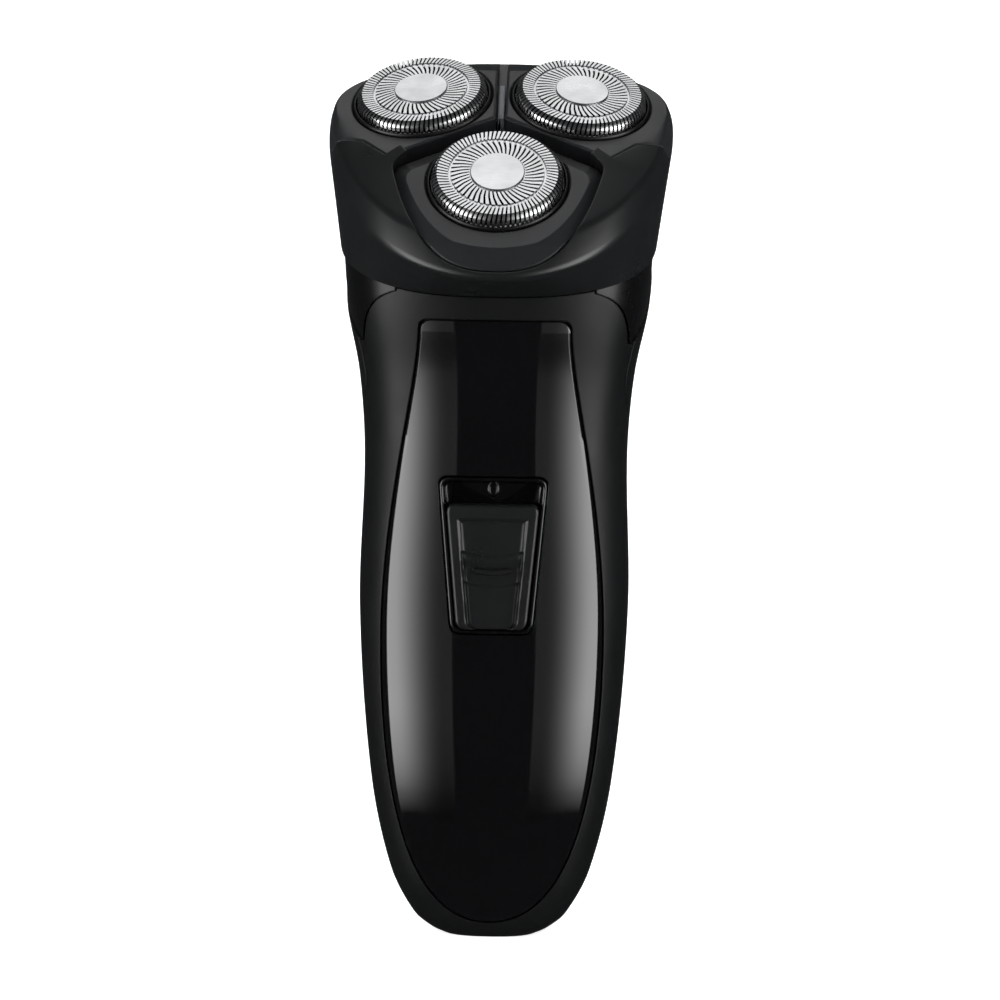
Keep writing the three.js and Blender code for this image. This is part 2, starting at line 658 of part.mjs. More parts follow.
// Plate that closes the top of the handle and carries the motor and the gears.
function driveDeck() {
  const plate = handleForm(WALL + 0.35 + GAP, 60)
    .intersect(above(JOINT, -DECK.thickness))
    .subtract(above(JOINT, 0));
  const shaftHole = inJointAt(post(MOTOR.shaft + 0.4, -FAR, FAR, 0, 0, 16), motorSpot.x, motorSpot.y);
  const journals = SIDES.map((side) => {
    const spot = spindleTop(side);
    return inJointAt(post(GEAR.journal + 0.2, GEAR.journalLow - 0.2, FAR, 0, 0, 16), spot.x, spot.y);
  });
  const screws = [-1, 1].map((sign) => {
    const hole = post(MOTOR_SCREW.radius + 0.1, -FAR, FAR, 0, 0, 12)
      .add(post(MOTOR_SCREW.head + 0.1, -1.1, FAR));
    return inJointAt(hole, motorSpot.x + sign * MOTOR_SCREW.offset, motorSpot.y);
  });
  return plate.subtract(unite(shaftHole, ...journals, ...screws));
}

// Cover over the gears: three round turrets joined in the middle, open only for the spindles.
function gearCover() {
  const reach = (gearModule * GEAR.teeth) / 2 + gearModule * GEAR.addendum + COVER.play;
  const lobes = (grow, low, high) => {
    const discs = SIDES.map((side) => {
      const spot = spindleTop(side);
      return post(reach + grow, low, high, spot.x, spot.y);
    });
    return unite(...discs, post(reach + grow, low, high, motorSpot.x, motorSpot.y));
  };
  const holes = SIDES.map((side) => {
    const spot = spindleTop(side);
    return post(SPINDLE.radius + 0.25, 0, FAR, spot.x, spot.y, 20);
  });
  const shell = lobes(COVER.wall, GAP / 2, COVER.top)
    .subtract(lobes(0, -1, COVER.top - COVER.wall))
    .subtract(unite(...holes));
  return inJoint(shell);
}

// ---------------------------------------------------------------- head

// A point of an outline that lies in a plane parallel to the head plane.
function outlinePoint(outline, angle, inset = 0, drop = 0) {
  const isFront = Math.cos(angle) > 0;
  const power = isFront ? 1 : 2 / HEAD_BACK_POWER;
  const across = (outline.side - inset) * signedPower(Math.sin(angle), power);
  const reach = (isFront ? outline.front : outline.back) - inset;
  const along = outline.centre - reach * signedPower(Math.cos(angle), power);
  return new THREE.Vector3(across, along, outline.depth - drop).applyMatrix4(headFrame);
}

const inHead = (body) => body.transform(headFrame.toArray());
const atHead = (x, along, depth) => new THREE.Vector3(x, along, depth).applyMatrix4(headFrame);

// Outer form of the head: neck outline, crease, rim and a raised middle.
function headForm() {
  const rings = [
    (angle) => neckPoint(angle, -0.25, GAP / 2),
    (angle) => outlinePoint(CREASE, angle),
    (angle) => outlinePoint(RIM, angle),
    (angle) => outlinePoint(PLATEAU, angle),
  ];
  const low = new THREE.Vector3(0, 0, planeHeight(JOINT, 0) + GAP / 2 / Math.cos(degrees(JOINT.tilt)));
  return loft(rings, low, atHead(0, 0, PLATEAU.depth), ROUND + 8);
}

// The hollow under the petal ledge, open towards the handle.
function headHollow() {
  const rings = [
    (angle) => neckPoint(angle, HOUSING.wall, -4),
    (angle) => neckPoint(angle, HOUSING.wall, 0.6),
    (angle) => outlinePoint(CREASE, angle, HOUSING.wall + 0.6, HOUSING.plate + 0.6),
  ];
  const low = new THREE.Vector3(0, 0, planeHeight(JOINT, 0) - 4 / Math.cos(degrees(JOINT.tilt)));
  return loft(rings, low, atHead(0, 0, CREASE.depth - HOUSING.plate - 0.6), ROUND + 8);
}

// Outlines of the petals in the head plane, seen from above. The front one is a deep U with a low gable.
function frontPetalShape(grow) {
  const apex = -2 * PETAL.notch + grow;
  const side = 18.9 + grow;
  const low = PETAL.low - grow;
  const shape = new THREE.Shape();
  shape.moveTo(0, apex);
  shape.lineTo(side - 2.5, apex - 9.2);
  shape.quadraticCurveTo(side, apex - 10.4, side - 0.5, apex - 13);
  shape.bezierCurveTo(side - 3.7, low + 6, 9.5 + grow, low, 0, low);
  shape.bezierCurveTo(-9.5 - grow, low, 3.7 - side, low + 6, 0.5 - side, apex - 13);
  shape.quadraticCurveTo(-side, apex - 10.4, 2.5 - side, apex - 9.2);
  return shape;
}

function rearPetalShape(sign, grow) {
  const inner = PETAL.notch - grow;
  const shape = new THREE.Shape();
  shape.moveTo(sign * inner, 0.5 - grow);
  shape.lineTo(sign * (20.2 + grow / 2), -9.7 - grow);
  shape.lineTo(sign * (24.6 + grow / 2), -4.4 - grow);
  shape.lineTo(sign * 40, 1 - grow);
  shape.lineTo(sign * 40, 40);
  shape.lineTo(sign * inner, 40);
  return shape;
}

function petalShape(side, grow = 0) {
  if (side === 'front') {
    return frontPetalShape(grow);
  }
  return rearPetalShape(side === 'right' ? 1 : -1, grow);
}

const inCutter = (body, side) => body.transform(cutterFrame(side).toArray());

function petal(side) {
  const blank = inHead(prism(petalShape(side), PETAL.base, FAR / 6)).intersect(headForm());
  const overFace = inCutter(box(FAR, FAR, FAR, 0, 0, FAR / 2), side);
  const seat = inCutter(post(HOLDER.radius + 0.1, -FAR / 4, FAR), side);
  return blank.subtract(overFace).subtract(seat);
}

// Dark ring that the guard cap floats in.
function capHolder(side) {
  const { radius, top, bottom } = HOLDER;
  const bore = CAP.radius + HOLDER.play;
  const ring = turned([[0, bottom], [radius, bottom], [radius, top - 0.5], [radius - 0.4, top], [0, top]]);
  return inCutter(ring.subtract(post(bore, -FAR, FAR)), side);
}

// Bright guard cap: a shallow cup with a bevelled edge and a sunk ring between its two slot rings.
function guardCap(side) {
  const { radius, top, bevel, bottom, skin, disc } = CAP;
  const { inner, outer, depth, dish } = CAP_GROOVE;
  const outside = [
    [0, top], [disc, top], [disc, top - dish], [inner, top - dish], [inner, top - depth], [outer, top - depth],
    [outer, top], [radius - bevel, top], [radius, top - bevel], [radius, bottom],
  ];
  const inside = [
    [radius - skin, bottom], [radius - skin, top - bevel - 0.2], [radius - bevel - 0.3, top - skin - 0.25],
    [0, top - skin - 0.25],
  ];
  return inCutter(turned([...outside, ...inside].reverse()), side);
}

function capDisc(side) {
  const { top, disc } = CAP;
  return inCutter(post(disc - 0.15, top + 0.02, top + 0.3), side);
}

// Rotor: a thin disc with upright blades, and a hub whose six-sided socket takes the spindle.
function cutter(side) {
  const { radius, base, hub, hubBottom, socket, blades, bladeLength, bladeThickness } = CUTTER;
  const bladeTop = CAP.top - CAP.skin - 0.5;
  const disc = post(radius - 0.6, -base, 0);
  const knives = Array.from({ length: blades }, (_, number) => {
    const blade = new THREE.BoxGeometry(bladeLength, bladeThickness, bladeTop + 0.3);
    const lean = new THREE.Matrix4().makeTranslation(radius - 2, 0, bladeTop / 2 - 0.1);
    const turn = new THREE.Matrix4().makeRotationZ((2 * Math.PI * number) / blades);
    return solid(placed(blade, turn.multiply(lean)));
  });
  const boss = post(hub, hubBottom, -base / 2);
  const hole = post(socket / Math.cos(Math.PI / 6), hubBottom - 1, -base - 0.6, 0, 0, 6);
  return inCutter(unite(disc, boss, ...knives).subtract(hole), side);
}

// Grooves that run out from the middle between the petals.
function petalGrooves() {
  const groove = (bearing, length) => {
    const block = new THREE.BoxGeometry(length, 3.6, FAR / 6);
    const lift = new THREE.Matrix4().makeTranslation(length / 2, 0, HOUSING.ledge + FAR / 12);
    const turn = new THREE.Matrix4().makeRotationZ(degrees(bearing));
    return solid(placed(block, turn.multiply(lift)));
  };
  return inHead(unite(groove(90, 40), groove(-30, 19.5), groove(-150, 19.5)));
}

function headHousing() {
  const pockets = SIDES.map((side) => inHead(prism(petalShape(side, GAP), HOUSING.ledge, FAR / 6)));
  const wells = SIDES.map((side) => inCutter(post(HOUSING.well, HOUSING.ledge - 1.2, FAR), side));
  const lockHole = inHead(post(LOCK.pin + 0.2, -FAR / 6, LOCK.pinTop + 0.3, 0, 0, 20));
  return headForm()
    .subtract(headHollow())
    .subtract(unite(...pockets, ...wells, petalGrooves(), lockHole));
}

// Pale flat bar that lies in the groove between the two rear petals.
function grooveBar() {
  const low = HOUSING.ledge + 0.1;
  return inHead(box(1.2, 10.5, PETAL.face - 1.2 - low, 0, 9.5, (PETAL.face - 1.2 + low) / 2));
}

// ---------------------------------------------------------------- retaining frame and its lock

function retainingFrame() {
  const { low, high, ring, hole, hub } = FRAME;
  const spots = SIDES.map((side) => {
    const angle = degrees(CUTTER_ANGLES[side]);
    return { x: CUTTER_CIRCLE * Math.cos(angle), y: CUTTER_CIRCLE * Math.sin(angle) };
  });
  const rings = spots.map(({ x, y }) => post(ring, low, high, x, y));
  const holes = spots.map(({ x, y }) => post(hole, low - 1, high + 1, x, y));
  return inHead(unite(post(hub, low, high), ...rings)
    .subtract(unite(...holes, post(LOCK.pin + 0.25, low - 1, high + 1, 0, 0, 20))));
}

function lockKnob() {
  const { radius, low, high, pin, pinTop } = LOCK;
  const finger = box(2 * radius - 0.6, 1.8, high - low, 0, 0, (low + high) / 2);
  const knob = post(radius, high - 1, high).add(finger);
  return inHead(knob.add(post(pin, high - 0.2, pinTop, 0, 0, 20)));
}

// ---------------------------------------------------------------- assembly

const shaver = new THREE.Group();

function addPiece(name, body, look) {
  const mesh = new THREE.Mesh(toGeometry(body), look);
  mesh.name = name;
  shaver.add(mesh);
}

addPiece('front_shell', frontShell(), matteBlack());
addPiece('rear_shell', rearShell(), matteBlack());
addPiece('front_panel', frontPanel(), glossBlack());
addPiece('collar', collar(), glossBlack());
for (const site of screwSites()) {
  addPiece(`case_screw_${site.name}`, caseScrew(site), darkSteel());
}
addPiece('switch_bezel', switchBezel(), glossBlack());
addPiece('switch_button', switchButton(), satinBlack());
addPiece('switch_grip', gripBar(), matteBlack());
addPiece('switch_carriage', switchCarriage(), greyPlastic());
addPiece('slide_contact', slideContact(), brass());
addPiece('circuit_board', circuitBoard(), boardGreen());
addPiece('battery', battery(), batteryGreen());
addPiece('battery_tab_low', batteryTab(BATTERY.z - TAB.gap), brass());
const batteryTop = BATTERY.z + BATTERY.length + BATTERY.buttonHeight;
addPiece('battery_tab_high', batteryTab(batteryTop + TAB.gap), brass());
addPiece('charge_inlet', chargeInlet(), matteBlack());
addPiece('inlet_pin_left', inletPin(-1), steel());
addPiece('inlet_pin_right', inletPin(1), steel());
addPiece('motor', motorWithScrewHoles(), darkSteel());
addPiece('motor_screw_left', motorScrew(-1), darkSteel());
addPiece('motor_screw_right', motorScrew(1), darkSteel());
addPiece('drive_deck', driveDeck(), greyPlastic());
addPiece('gear_cover', gearCover(), greyPlastic());
addPiece('drive_pinion', drivePinion(), brass());
addPiece('head_housing', headHousing(), satinBlack());
addPiece('groove_bar', grooveBar(), greyPlastic());
addPiece('retaining_frame', retainingFrame(), greyPlastic());
addPiece('lock_knob', lockKnob(), whitePlastic());
for (const side of SIDES) {
  addPiece(`drive_gear_${side}`, driveGear(side), whitePlastic());
  addPiece(`drive_spindle_${side}`, driveSpindle(side), whitePlastic());
  addPiece(`petal_${side}`, petal(side), petalGrey());
  addPiece(`cap_holder_${side}`, capHolder(side), glossBlack());
  addPiece(`guard_cap_${side}`, guardCap(side), steel());
  addPiece(`cap_disc_${side}`, capDisc(side), steel());
  addPiece(`cutter_${side}`, cutter(side), darkSteel());
}

// The origin lies under the middle of the whole shaver, on the surface it stands on.
const bounds = new THREE.Box3().setFromObject(shaver);
const middle = bounds.getCenter(new THREE.Vector3());
shaver.position.set(-middle.x, -middle.y, -bounds.min.z);

export default shaver;
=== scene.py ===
"""Rotary electric shaver: mesh pieces and surface finishes for the jointed model of the shaver."""

import json
import math

import bmesh
import bpy
from mathutils import Matrix, Vector


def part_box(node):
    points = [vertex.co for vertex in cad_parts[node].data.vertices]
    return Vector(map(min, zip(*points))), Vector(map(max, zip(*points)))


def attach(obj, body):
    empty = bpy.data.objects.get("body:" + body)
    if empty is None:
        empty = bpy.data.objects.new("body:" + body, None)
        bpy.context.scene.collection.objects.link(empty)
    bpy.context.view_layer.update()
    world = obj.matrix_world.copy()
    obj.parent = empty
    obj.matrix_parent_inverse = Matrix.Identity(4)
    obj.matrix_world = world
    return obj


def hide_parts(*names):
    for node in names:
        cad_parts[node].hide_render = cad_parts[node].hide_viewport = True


bl_info = {
    "name": "Rotary Shaver",
    "version": (1, 0, 0),
    "blender": (4, 5, 0),
    "location": "View3D > Sidebar > Shaver",
    "description": "Builds the shells, head, guard caps, switch and finishes of a rotary shaver",
    "category": "Add Mesh",
}

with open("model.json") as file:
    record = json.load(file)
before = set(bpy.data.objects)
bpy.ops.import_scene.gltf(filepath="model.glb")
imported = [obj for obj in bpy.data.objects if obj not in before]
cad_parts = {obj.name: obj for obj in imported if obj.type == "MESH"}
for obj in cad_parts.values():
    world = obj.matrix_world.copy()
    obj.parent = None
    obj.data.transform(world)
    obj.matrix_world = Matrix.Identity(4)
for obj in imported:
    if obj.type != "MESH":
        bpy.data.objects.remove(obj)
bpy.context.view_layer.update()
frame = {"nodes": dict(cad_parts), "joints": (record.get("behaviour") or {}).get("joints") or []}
JOINTS = {joint["name"]: joint for joint in frame["joints"]}
SIDES = ("left", "right", "front")
MM = 0.001

# ---------------------------------------------------------------- sizes, in millimetres

WALL = 2.4
GAP = 0.3
PANEL_THICKNESS = 1.2

# Handle sections, foot to neck: height, half width, reach to the front, reach to the back.
SECTIONS = (
    (0.0, 8.6, 7.5, 7.5),
    (1.0, 10.8, 9.0, 9.4),
    (3.6, 14.0, 10.9, 11.6),
    (11.8, 18.3, 13.6, 14.6),
    (29.0, 22.1, 15.8, 17.4),
    (60.0, 24.5, 17.2, 19.0),
    (88.0, 23.9, 18.2, 19.8),
    (103.0, 25.0, 19.6, 21.0),
    (115.0, 27.4, 21.4, 22.4),
    (126.0, 28.4, 22.4, 23.9),
    (138.0, 28.8, 23.0, 24.8),
)
FRONT_POWER = 2.5
BACK_POWER = 3.6
HEAD_BACK_POWER = 2.4

JOINT_PLANE = {"tilt": 23.3, "y": -21.6, "z": 117.85}
COLLAR_PLANE = {"tilt": 34.0, "y": -9.0, "z": 109.7}
HEAD_PLANE = {"tilt": 34.0, "y": -4.0, "z": 149.2}
PARTING = {"low": 1.0, "high": -9.0, "start": 86.0, "end": 104.0}
SHOULDER = {"inner": 17.6, "outer": 23.6, "top": 118.5, "bottom": 109.0}
CREASE = {"side": 31.4, "front": 45.0, "back": 21.2, "centre": 7.0, "depth": -8.0}
RIM = {"side": 30.4, "front": 40.0, "back": 14.4, "centre": 7.0, "depth": -3.9}
PLATEAU = {"side": 16.0, "front": 20.0, "back": 12.0, "centre": 0.0, "depth": 0.8}
LEDGE = -7.8
PETAL_BASE = -7.1
PETAL_LOW = -36.6
NOTCH = 0.85
CUTTER_ANGLES = {"left": 150.0, "right": 30.0, "front": -90.0}

# The handle's own axis stands a little behind the frame's origin.
inlet_low, inlet_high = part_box("charge_inlet")
AXIS_Y = (inlet_low.y + inlet_high.y) / 2 / MM + 0.6


# ---------------------------------------------------------------- settings a user may change


def length(name, description, default):
    return bpy.props.FloatProperty(
        name=name, description=description, default=default, unit="LENGTH", precision=5
    )


def count(name, description, default):
    return bpy.props.IntProperty(name=name, description=description, default=default, min=3, max=400)


def share(name, description, default):
    return bpy.props.FloatProperty(
        name=name, description=description, default=default, subtype="FACTOR", min=0, max=1
    )


def linear(code):
    """sRGB hex code to the linear colour that the renderer works in."""
    values = [int(code[i:i + 2], 16) / 255 for i in (1, 3, 5)]
    return tuple(v / 12.92 if v <= 0.04045 else ((v + 0.055) / 1.055) ** 2.4 for v in values)


def colour(name, description, code):
    return bpy.props.FloatVectorProperty(
        name=name, description=description, default=linear(code), subtype="COLOR", size=3, min=0, max=1
    )


class ShaverFinish(bpy.types.PropertyGroup):
    """Colours of the visible materials."""

    shell: colour("Shell black", "Matte moulded shells of the handle", "#0D0E0F")
    gloss: colour("Gloss black", "Polished front panel, collar and bezel", "#050506")
    head: colour("Head black", "Satin housing of the head", "#121314")
    petal: colour("Petal grey", "Matte plates around the cutters", "#1D1E20")
    steel: colour("Guard steel", "Stamped and ground guard caps", "#D4D5D6")
    bar: colour("Bar grey", "Pale bar in the groove between the rear petals", "#8C9093")
    floor: colour("Floor", "Pale studio floor", "#F4F4F3")


class ShaverSize(bpy.types.PropertyGroup):
    """Sizes of the details that the meshes add to the frame."""

    edge: length("Edge round", "Radius on the edges of the moulded pieces", 0.0003)
    panel_lip: length("Panel lip", "Height of the sloping lip at the top of the front panel", 0.0019)
    chamfer: length("Petal chamfer", "Width of the sloping border of the front petal", 0.0022)
    inner_slots: count("Inner slots", "Slots in the inner ring of a guard cap", 48)
    outer_slots: count("Outer slots", "Slots in the outer ring of a guard cap", 84)
    slot_share: share("Slot share", "Share of the pitch that a slot takes", 0.42)


# ---------------------------------------------------------------- mesh helpers


def signed_power(value, power):
    return math.copysign(abs(value) ** power, value)


def smooth_sections(z):
    """Half width and reaches of the handle at a height, on a smooth curve through the sections."""
    rows = SECTIONS
    z = min(max(z, rows[0][0]), rows[-1][0])
    k = max(i for i in range(len(rows) - 1) if rows[i][0] <= z)
    low, high = rows[k], rows[k + 1]
    step = high[0] - low[0]
    t = (z - low[0]) / step
    values = []
    for column in (1, 2, 3):
        slopes = []
        for j in (k, k + 1):
            before = rows[max(j - 1, 0)]
            after = rows[min(j + 1, len(rows) - 1)]
            slopes.append((after[column] - before[column]) / (after[0] - before[0]))
        h00 = 2 * t ** 3 - 3 * t ** 2 + 1
        h10 = t ** 3 - 2 * t ** 2 + t
        h01 = 3 * t ** 2 - 2 * t ** 3
        h11 = t ** 3 - t ** 2
        slope_part = step * (h10 * slopes[0] + h11 * slopes[1])
        values.append(h00 * low[column] + h01 * high[column] + slope_part)
    return values


def section_point(angle, z, inset=0.0):
    """A point of the handle's outline, counted from the middle of the front."""
    side, front, back = smooth_sections(z)
    is_front = math.cos(angle) > 0
    power = 2 / (FRONT_POWER if is_front else BACK_POWER)
    reach = (front if is_front else back) - inset
    x = (side - inset) * signed_power(math.sin(angle), power)
    return Vector((x, -reach * signed_power(math.cos(angle), power), z))


def front_y(x, z, inset=0.0):
    """Depth of the handle's front face at a place seen from the front."""
    side, front, _ = smooth_sections(z)
    part = max(0.0, 1 - abs(x / side) ** FRONT_POWER)
    return -front * part ** (1 / FRONT_POWER) + inset


def tilted(plane):
    turn = Matrix.Rotation(math.radians(plane["tilt"]), 4, "X")
    return Matrix.Translation((0, plane["y"], plane["z"])) @ turn


HEAD_FRAME = tilted(HEAD_PLANE)


def plane_height(plane, y):
    return plane["z"] + (y - plane["y"]) * math.tan(math.radians(plane["tilt"]))


def cutter_frame(side):
    """Frame of a cutter, taken from the joint that spins it; Z points out of the head."""
    joint = JOINTS["cutter_spin_" + side]
    out = Vector(joint["axis"]).normalized()
    angle = math.radians(CUTTER_ANGLES[side])
    across = HEAD_FRAME.to_3x3() @ Vector((-math.sin(angle), math.cos(angle), 0))
    away = across.cross(out).normalized()
    basis = Matrix((away, across, out)).transposed().to_4x4()
    place = Vector(joint["pos_m"]) / MM - Vector((0, AXIS_Y, 0))
    return Matrix.Translation(place) @ basis


def outline_point(outline, angle, inset=0.0, drop=0.0):
    is_front = math.cos(angle) > 0
    power = 1.0 if is_front else 2 / HEAD_BACK_POWER
    reach = (outline["front"] if is_front else outline["back"]) - inset
    across = (outline["side"] - inset) * signed_power(math.sin(angle), power)
    along = outline["centre"] - reach * signed_power(math.cos(angle), power)
    return Vector((across, along, outline["depth"] - drop))


def neck_point(angle, inset, lift):
    z = JOINT_PLANE["z"]
    for _ in range(4):
        z = plane_height(JOINT_PLANE, section_point(angle, z, inset).y)
    return section_point(angle, z, inset) + Vector((0, 0, lift))


def object_of(name, points, faces, axis=AXIS_Y):
    """A mesh object from points in millimetres about the handle's axis, or about the origin."""
    mesh = bpy.data.meshes.new(name)
    mesh.from_pydata([tuple(Vector((p[0], p[1] + axis, p[2])) * MM) for p in points], [], faces)
    obj = bpy.data.objects.new(name, mesh)
    bpy.context.scene.collection.objects.link(obj)
    return obj


def lofted(name, rings, closed_ends=True, axis=AXIS_Y):
    """Skins a list of rings of equal length; the ends are closed with one face each."""
    size = len(rings[0])
    points = [p for ring in rings for p in ring]
    faces = []
    for r in range(len(rings) - 1):
        for i in range(size):
            j = (i + 1) % size
            faces.append((r * size + i, r * size + j, (r + 1) * size + j, (r + 1) * size + i))
    if closed_ends:
        faces.append(tuple(reversed(range(size))))
        faces.append(tuple(range((len(rings) - 1) * size, len(rings) * size)))
    else:
        last = (len(rings) - 1) * size
        faces += [(last + i, last + (i + 1) % size, (i + 1) % size, i) for i in range(size)]
    return settled(object_of(name, points, faces, axis))


def settled(obj):
    """Merges doubles, drops loose points and turns every face outwards."""
    bm = bmesh.new()
    bm.from_mesh(obj.data)
    bmesh.ops.delete(bm, geom=[v for v in bm.verts if not v.link_faces], context="VERTS")
    bmesh.ops.remove_doubles(bm, verts=bm.verts, dist=1e-7)
    bmesh.ops.dissolve_degenerate(bm, edges=bm.edges, dist=1e-8)
    bmesh.ops.recalc_face_normals(bm, faces=bm.faces)
    bm.to_mesh(obj.data)
    bm.free()
    return obj


def facing(across, height, depth):
    return Vector((across, depth, height))


def sideways(across, height, depth):
    return Vector((depth, across, height))


def in_head(across, along, depth):
    return HEAD_FRAME @ Vector((across, along, depth))


def prism(name, outline, near, far, place):
    """An outline pushed straight through; place says how its plane lies."""
    return lofted(name, [[place(a, b, depth) for a, b in outline] for depth in (near, far)])


def turned_ring(radius, h, segments, shift=0.0):
    return [
        Vector((
            radius * math.cos(2 * math.pi * (i + shift) / segments),
            radius * math.sin(2 * math.pi * (i + shift) / segments),
            h,
        ))
        for i in range(segments)
    ]


def lathe(name, profile, matrix, segments=96, hollow=False):
    rings = [[matrix @ p for p in turned_ring(radius, h, segments)] for radius, h in profile]
    return lofted(name, rings, closed_ends=not hollow)


def post(radius, low, high, matrix, segments=96):
    return lathe("post", [(radius, low), (radius, high)], matrix, segments)


def along_y(radius, near, far, x, z):
    turn = Matrix.Rotation(math.radians(-90), 4, "X")
    return post(radius, near, far, Matrix.Translation((x, 0, z)) @ turn, 48)


def block(low, high, place=Vector):
    """A box between two corners, turned into place by a function of a point."""
    corners = ((0, 0), (1, 0), (1, 1), (0, 1))
    rings = []
    for z in (low[2], high[2]):
        rings.append([place(((low, high)[i][0], (low, high)[j][1], z)) for i, j in corners])
    return lofted("block", rings)


def baked(obj):
    """The object's mesh with its modifiers made part of it."""
    bpy.context.view_layer.update()
    graph = bpy.context.evaluated_depsgraph_get()
    mesh = bpy.data.meshes.new_from_object(obj.evaluated_get(graph))
    obj.modifiers.clear()
    old = obj.data
    obj.data = mesh
    bpy.data.meshes.remove(old)
    return obj


def combined(obj, operation, *others):
    """Joins, cuts or intersects with other solids, which are used up."""
    for other in others:
        modifier = obj.modifiers.new(operation.lower(), "BOOLEAN")
        modifier.operation = operation
        modifier.solver = "EXACT"
        modifier.object = other
    baked(obj)
    for other in others:
        bpy.data.objects.remove(other)
    return obj


def shaded(obj, angle=35):
    """Smooth shading, with edges sharper than the angle left crisp."""
    mesh = obj.data
    mesh.polygons.foreach_set("use_smooth", [True] * len(mesh.polygons))
    bm = bmesh.new()
    bm.from_mesh(mesh)
    limit = math.radians(angle)
    for edge in bm.edges:
        edge.smooth = not (edge.is_manifold and edge.calc_face_angle(0) > limit)
    bm.to_mesh(mesh)
    bm.free()
    return obj


def finished(obj, material, body, slot, *nodes):
    """Gives a piece its material and its body, and hides the frame nodes that it stands for."""
    obj.data.materials.clear()
    obj.data.materials.append(material)
    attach(obj, body)
    if nodes:
        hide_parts(*nodes)
    return obj


def bezier(p0, p1, p2, p3, steps):
    """Points on a cubic curve, without its first point."""
    points = []
    for i in range(1, steps + 1):
        t = i / steps
        s = 1 - t
        weights = (s ** 3, 3 * s * s * t, 3 * s * t * t, t ** 3)
        points.append(tuple(sum(w * p[k] for w, p in zip(weights, (p0, p1, p2, p3))) for k in (0, 1)))
    return points


def quadratic(p0, p1, p2, steps):
    third = 2 / 3
    c1 = tuple(a + third * (b - a) for a, b in zip(p0, p1))
    c2 = tuple(c + third * (b - c) for c, b in zip(p2, p1))
    return bezier(p0, c1, c2, p2, steps)


# ---------------------------------------------------------------- materials


def add_node(tree, kind, links=None, **settings):
    """Adds a node; links maps an input name to a value or to another node's output."""
    node = tree.nodes.new(kind)
    for key, value in settings.items():
        setattr(node, key, value)
    for key, value in (links or {}).items():
        if isinstance(value, bpy.types.NodeSocket):
            tree.links.new(value, node.inputs[key])
        else:
            node.inputs[key].default_value = value
    return node


def new_material(name):
    """A material with an empty tree, its output and a Principled shader."""
    made = bpy.data.materials.new(name)
    made.use_nodes = True
    tree = made.node_tree
    tree.nodes.clear()
    shader = add_node(tree, "ShaderNodeBsdfPrincipled")
    add_node(tree, "ShaderNodeOutputMaterial", {"Surface": shader.outputs["BSDF"]})
    return made, tree, shader


def object_grid(tree, turn=(0, 0, 0), stretch=(1, 1, 1)):
    """Object coordinates, turned and stretched; one unit is a metre."""
    place = add_node(tree, "ShaderNodeTexCoord").outputs["Object"]
    return add_node(
        tree, "ShaderNodeMapping", {"Vector": place, "Rotation": turn, "Scale": stretch}
    ).outputs["Vector"]


def noise(tree, vector, size_mm, detail=3.0, roughness=0.55):
    """Noise whose lumps are about the given size."""
    return add_node(
        tree, "ShaderNodeTexNoise",
        {"Vector": vector, "Scale": 1000 / size_mm, "Detail": detail, "Roughness": roughness},
    ).outputs["Fac"]


def spread(tree, factor, low, high, start=0.35, end=0.65):
    """Spreads a factor between two numbers."""
    return add_node(
        tree, "ShaderNodeMapRange",
        {"Value": factor, "From Min": start, "From Max": end, "To Min": low, "To Max": high},
    ).outputs["Result"]


def tones(tree, factor, dark, light):
    """A colour that wanders between two tones."""
    mix = add_node(tree, "ShaderNodeMix", {"Factor": factor}, data_type="RGBA")
    mix.inputs["A"].default_value = (*dark, 1)
    mix.inputs["B"].default_value = (*light, 1)
    return mix.outputs["Result"]


def relief(tree, height, depth_mm, strength, edge_mm=0.0):
    """Bump from a height; with an edge size, sharp edges also shade as small rounds."""
    links = {"Height": height, "Distance": depth_mm * MM, "Strength": strength}
    if edge_mm:
        links["Normal"] = add_node(tree, "ShaderNodeBevel", {"Radius": edge_mm * MM}, samples=4).outputs[0]
    return add_node(tree, "ShaderNodeBump", links).outputs["Normal"]


def shade(base, factor):
    return tuple(min(1.0, channel * factor) for channel in base)


def moulded(name, base, grain_mm, grain_depth_mm, rough, wander=0.05, strength=0.5, gleam=0.4):
    """Moulded plastic: a spark-eroded grain, slow changes of gloss, and a little tone."""
    made, tree, shader = new_material(name)
    grid = object_grid(tree)
    grain = noise(tree, grid, grain_mm, 2.0)
    slow = noise(tree, grid, 14.0, 4.0)
    tree.links.new(tones(tree, slow, shade(base, 0.86), shade(base, 1.16)), shader.inputs["Base Color"])
    tree.links.new(spread(tree, slow, rough - wander, rough + wander), shader.inputs["Roughness"])
    edge = bpy.context.scene.shaver_size.edge / MM
    tree.links.new(relief(tree, grain, grain_depth_mm, strength, edge), shader.inputs["Normal"])
    shader.inputs["IOR"].default_value = 1.5
    shader.inputs["Specular IOR Level"].default_value = gleam
    return made


def ground_metal(name, base, rough, turn, stretch, scratch_mm, strength):
    """Metal with fine drawn lines: noise stretched along the grain moves gloss and tone."""
    made, tree, shader = new_material(name)
    lines = noise(tree, object_grid(tree, turn, stretch), scratch_mm, 3.0, 0.65)
    cloud = noise(tree, object_grid(tree), 5.0, 3.0)
    tree.links.new(tones(tree, lines, shade(base, 0.8), shade(base, 1.1)), shader.inputs["Base Color"])
    tree.links.new(spread(tree, cloud, rough - 0.05, rough + 0.07), shader.inputs["Roughness"])
    tree.links.new(relief(tree, lines, 0.01, strength), shader.inputs["Normal"])
    shader.inputs["Metallic"].default_value = 1.0
    return made


def matte_abs(finish):
    # Spark-eroded ABS: black and dry, with a fine even grain that scatters the studio light.
    return moulded("matte moulded ABS", tuple(finish.shell), 0.35, 0.02, 0.42, 0.04, 0.35, 0.22)


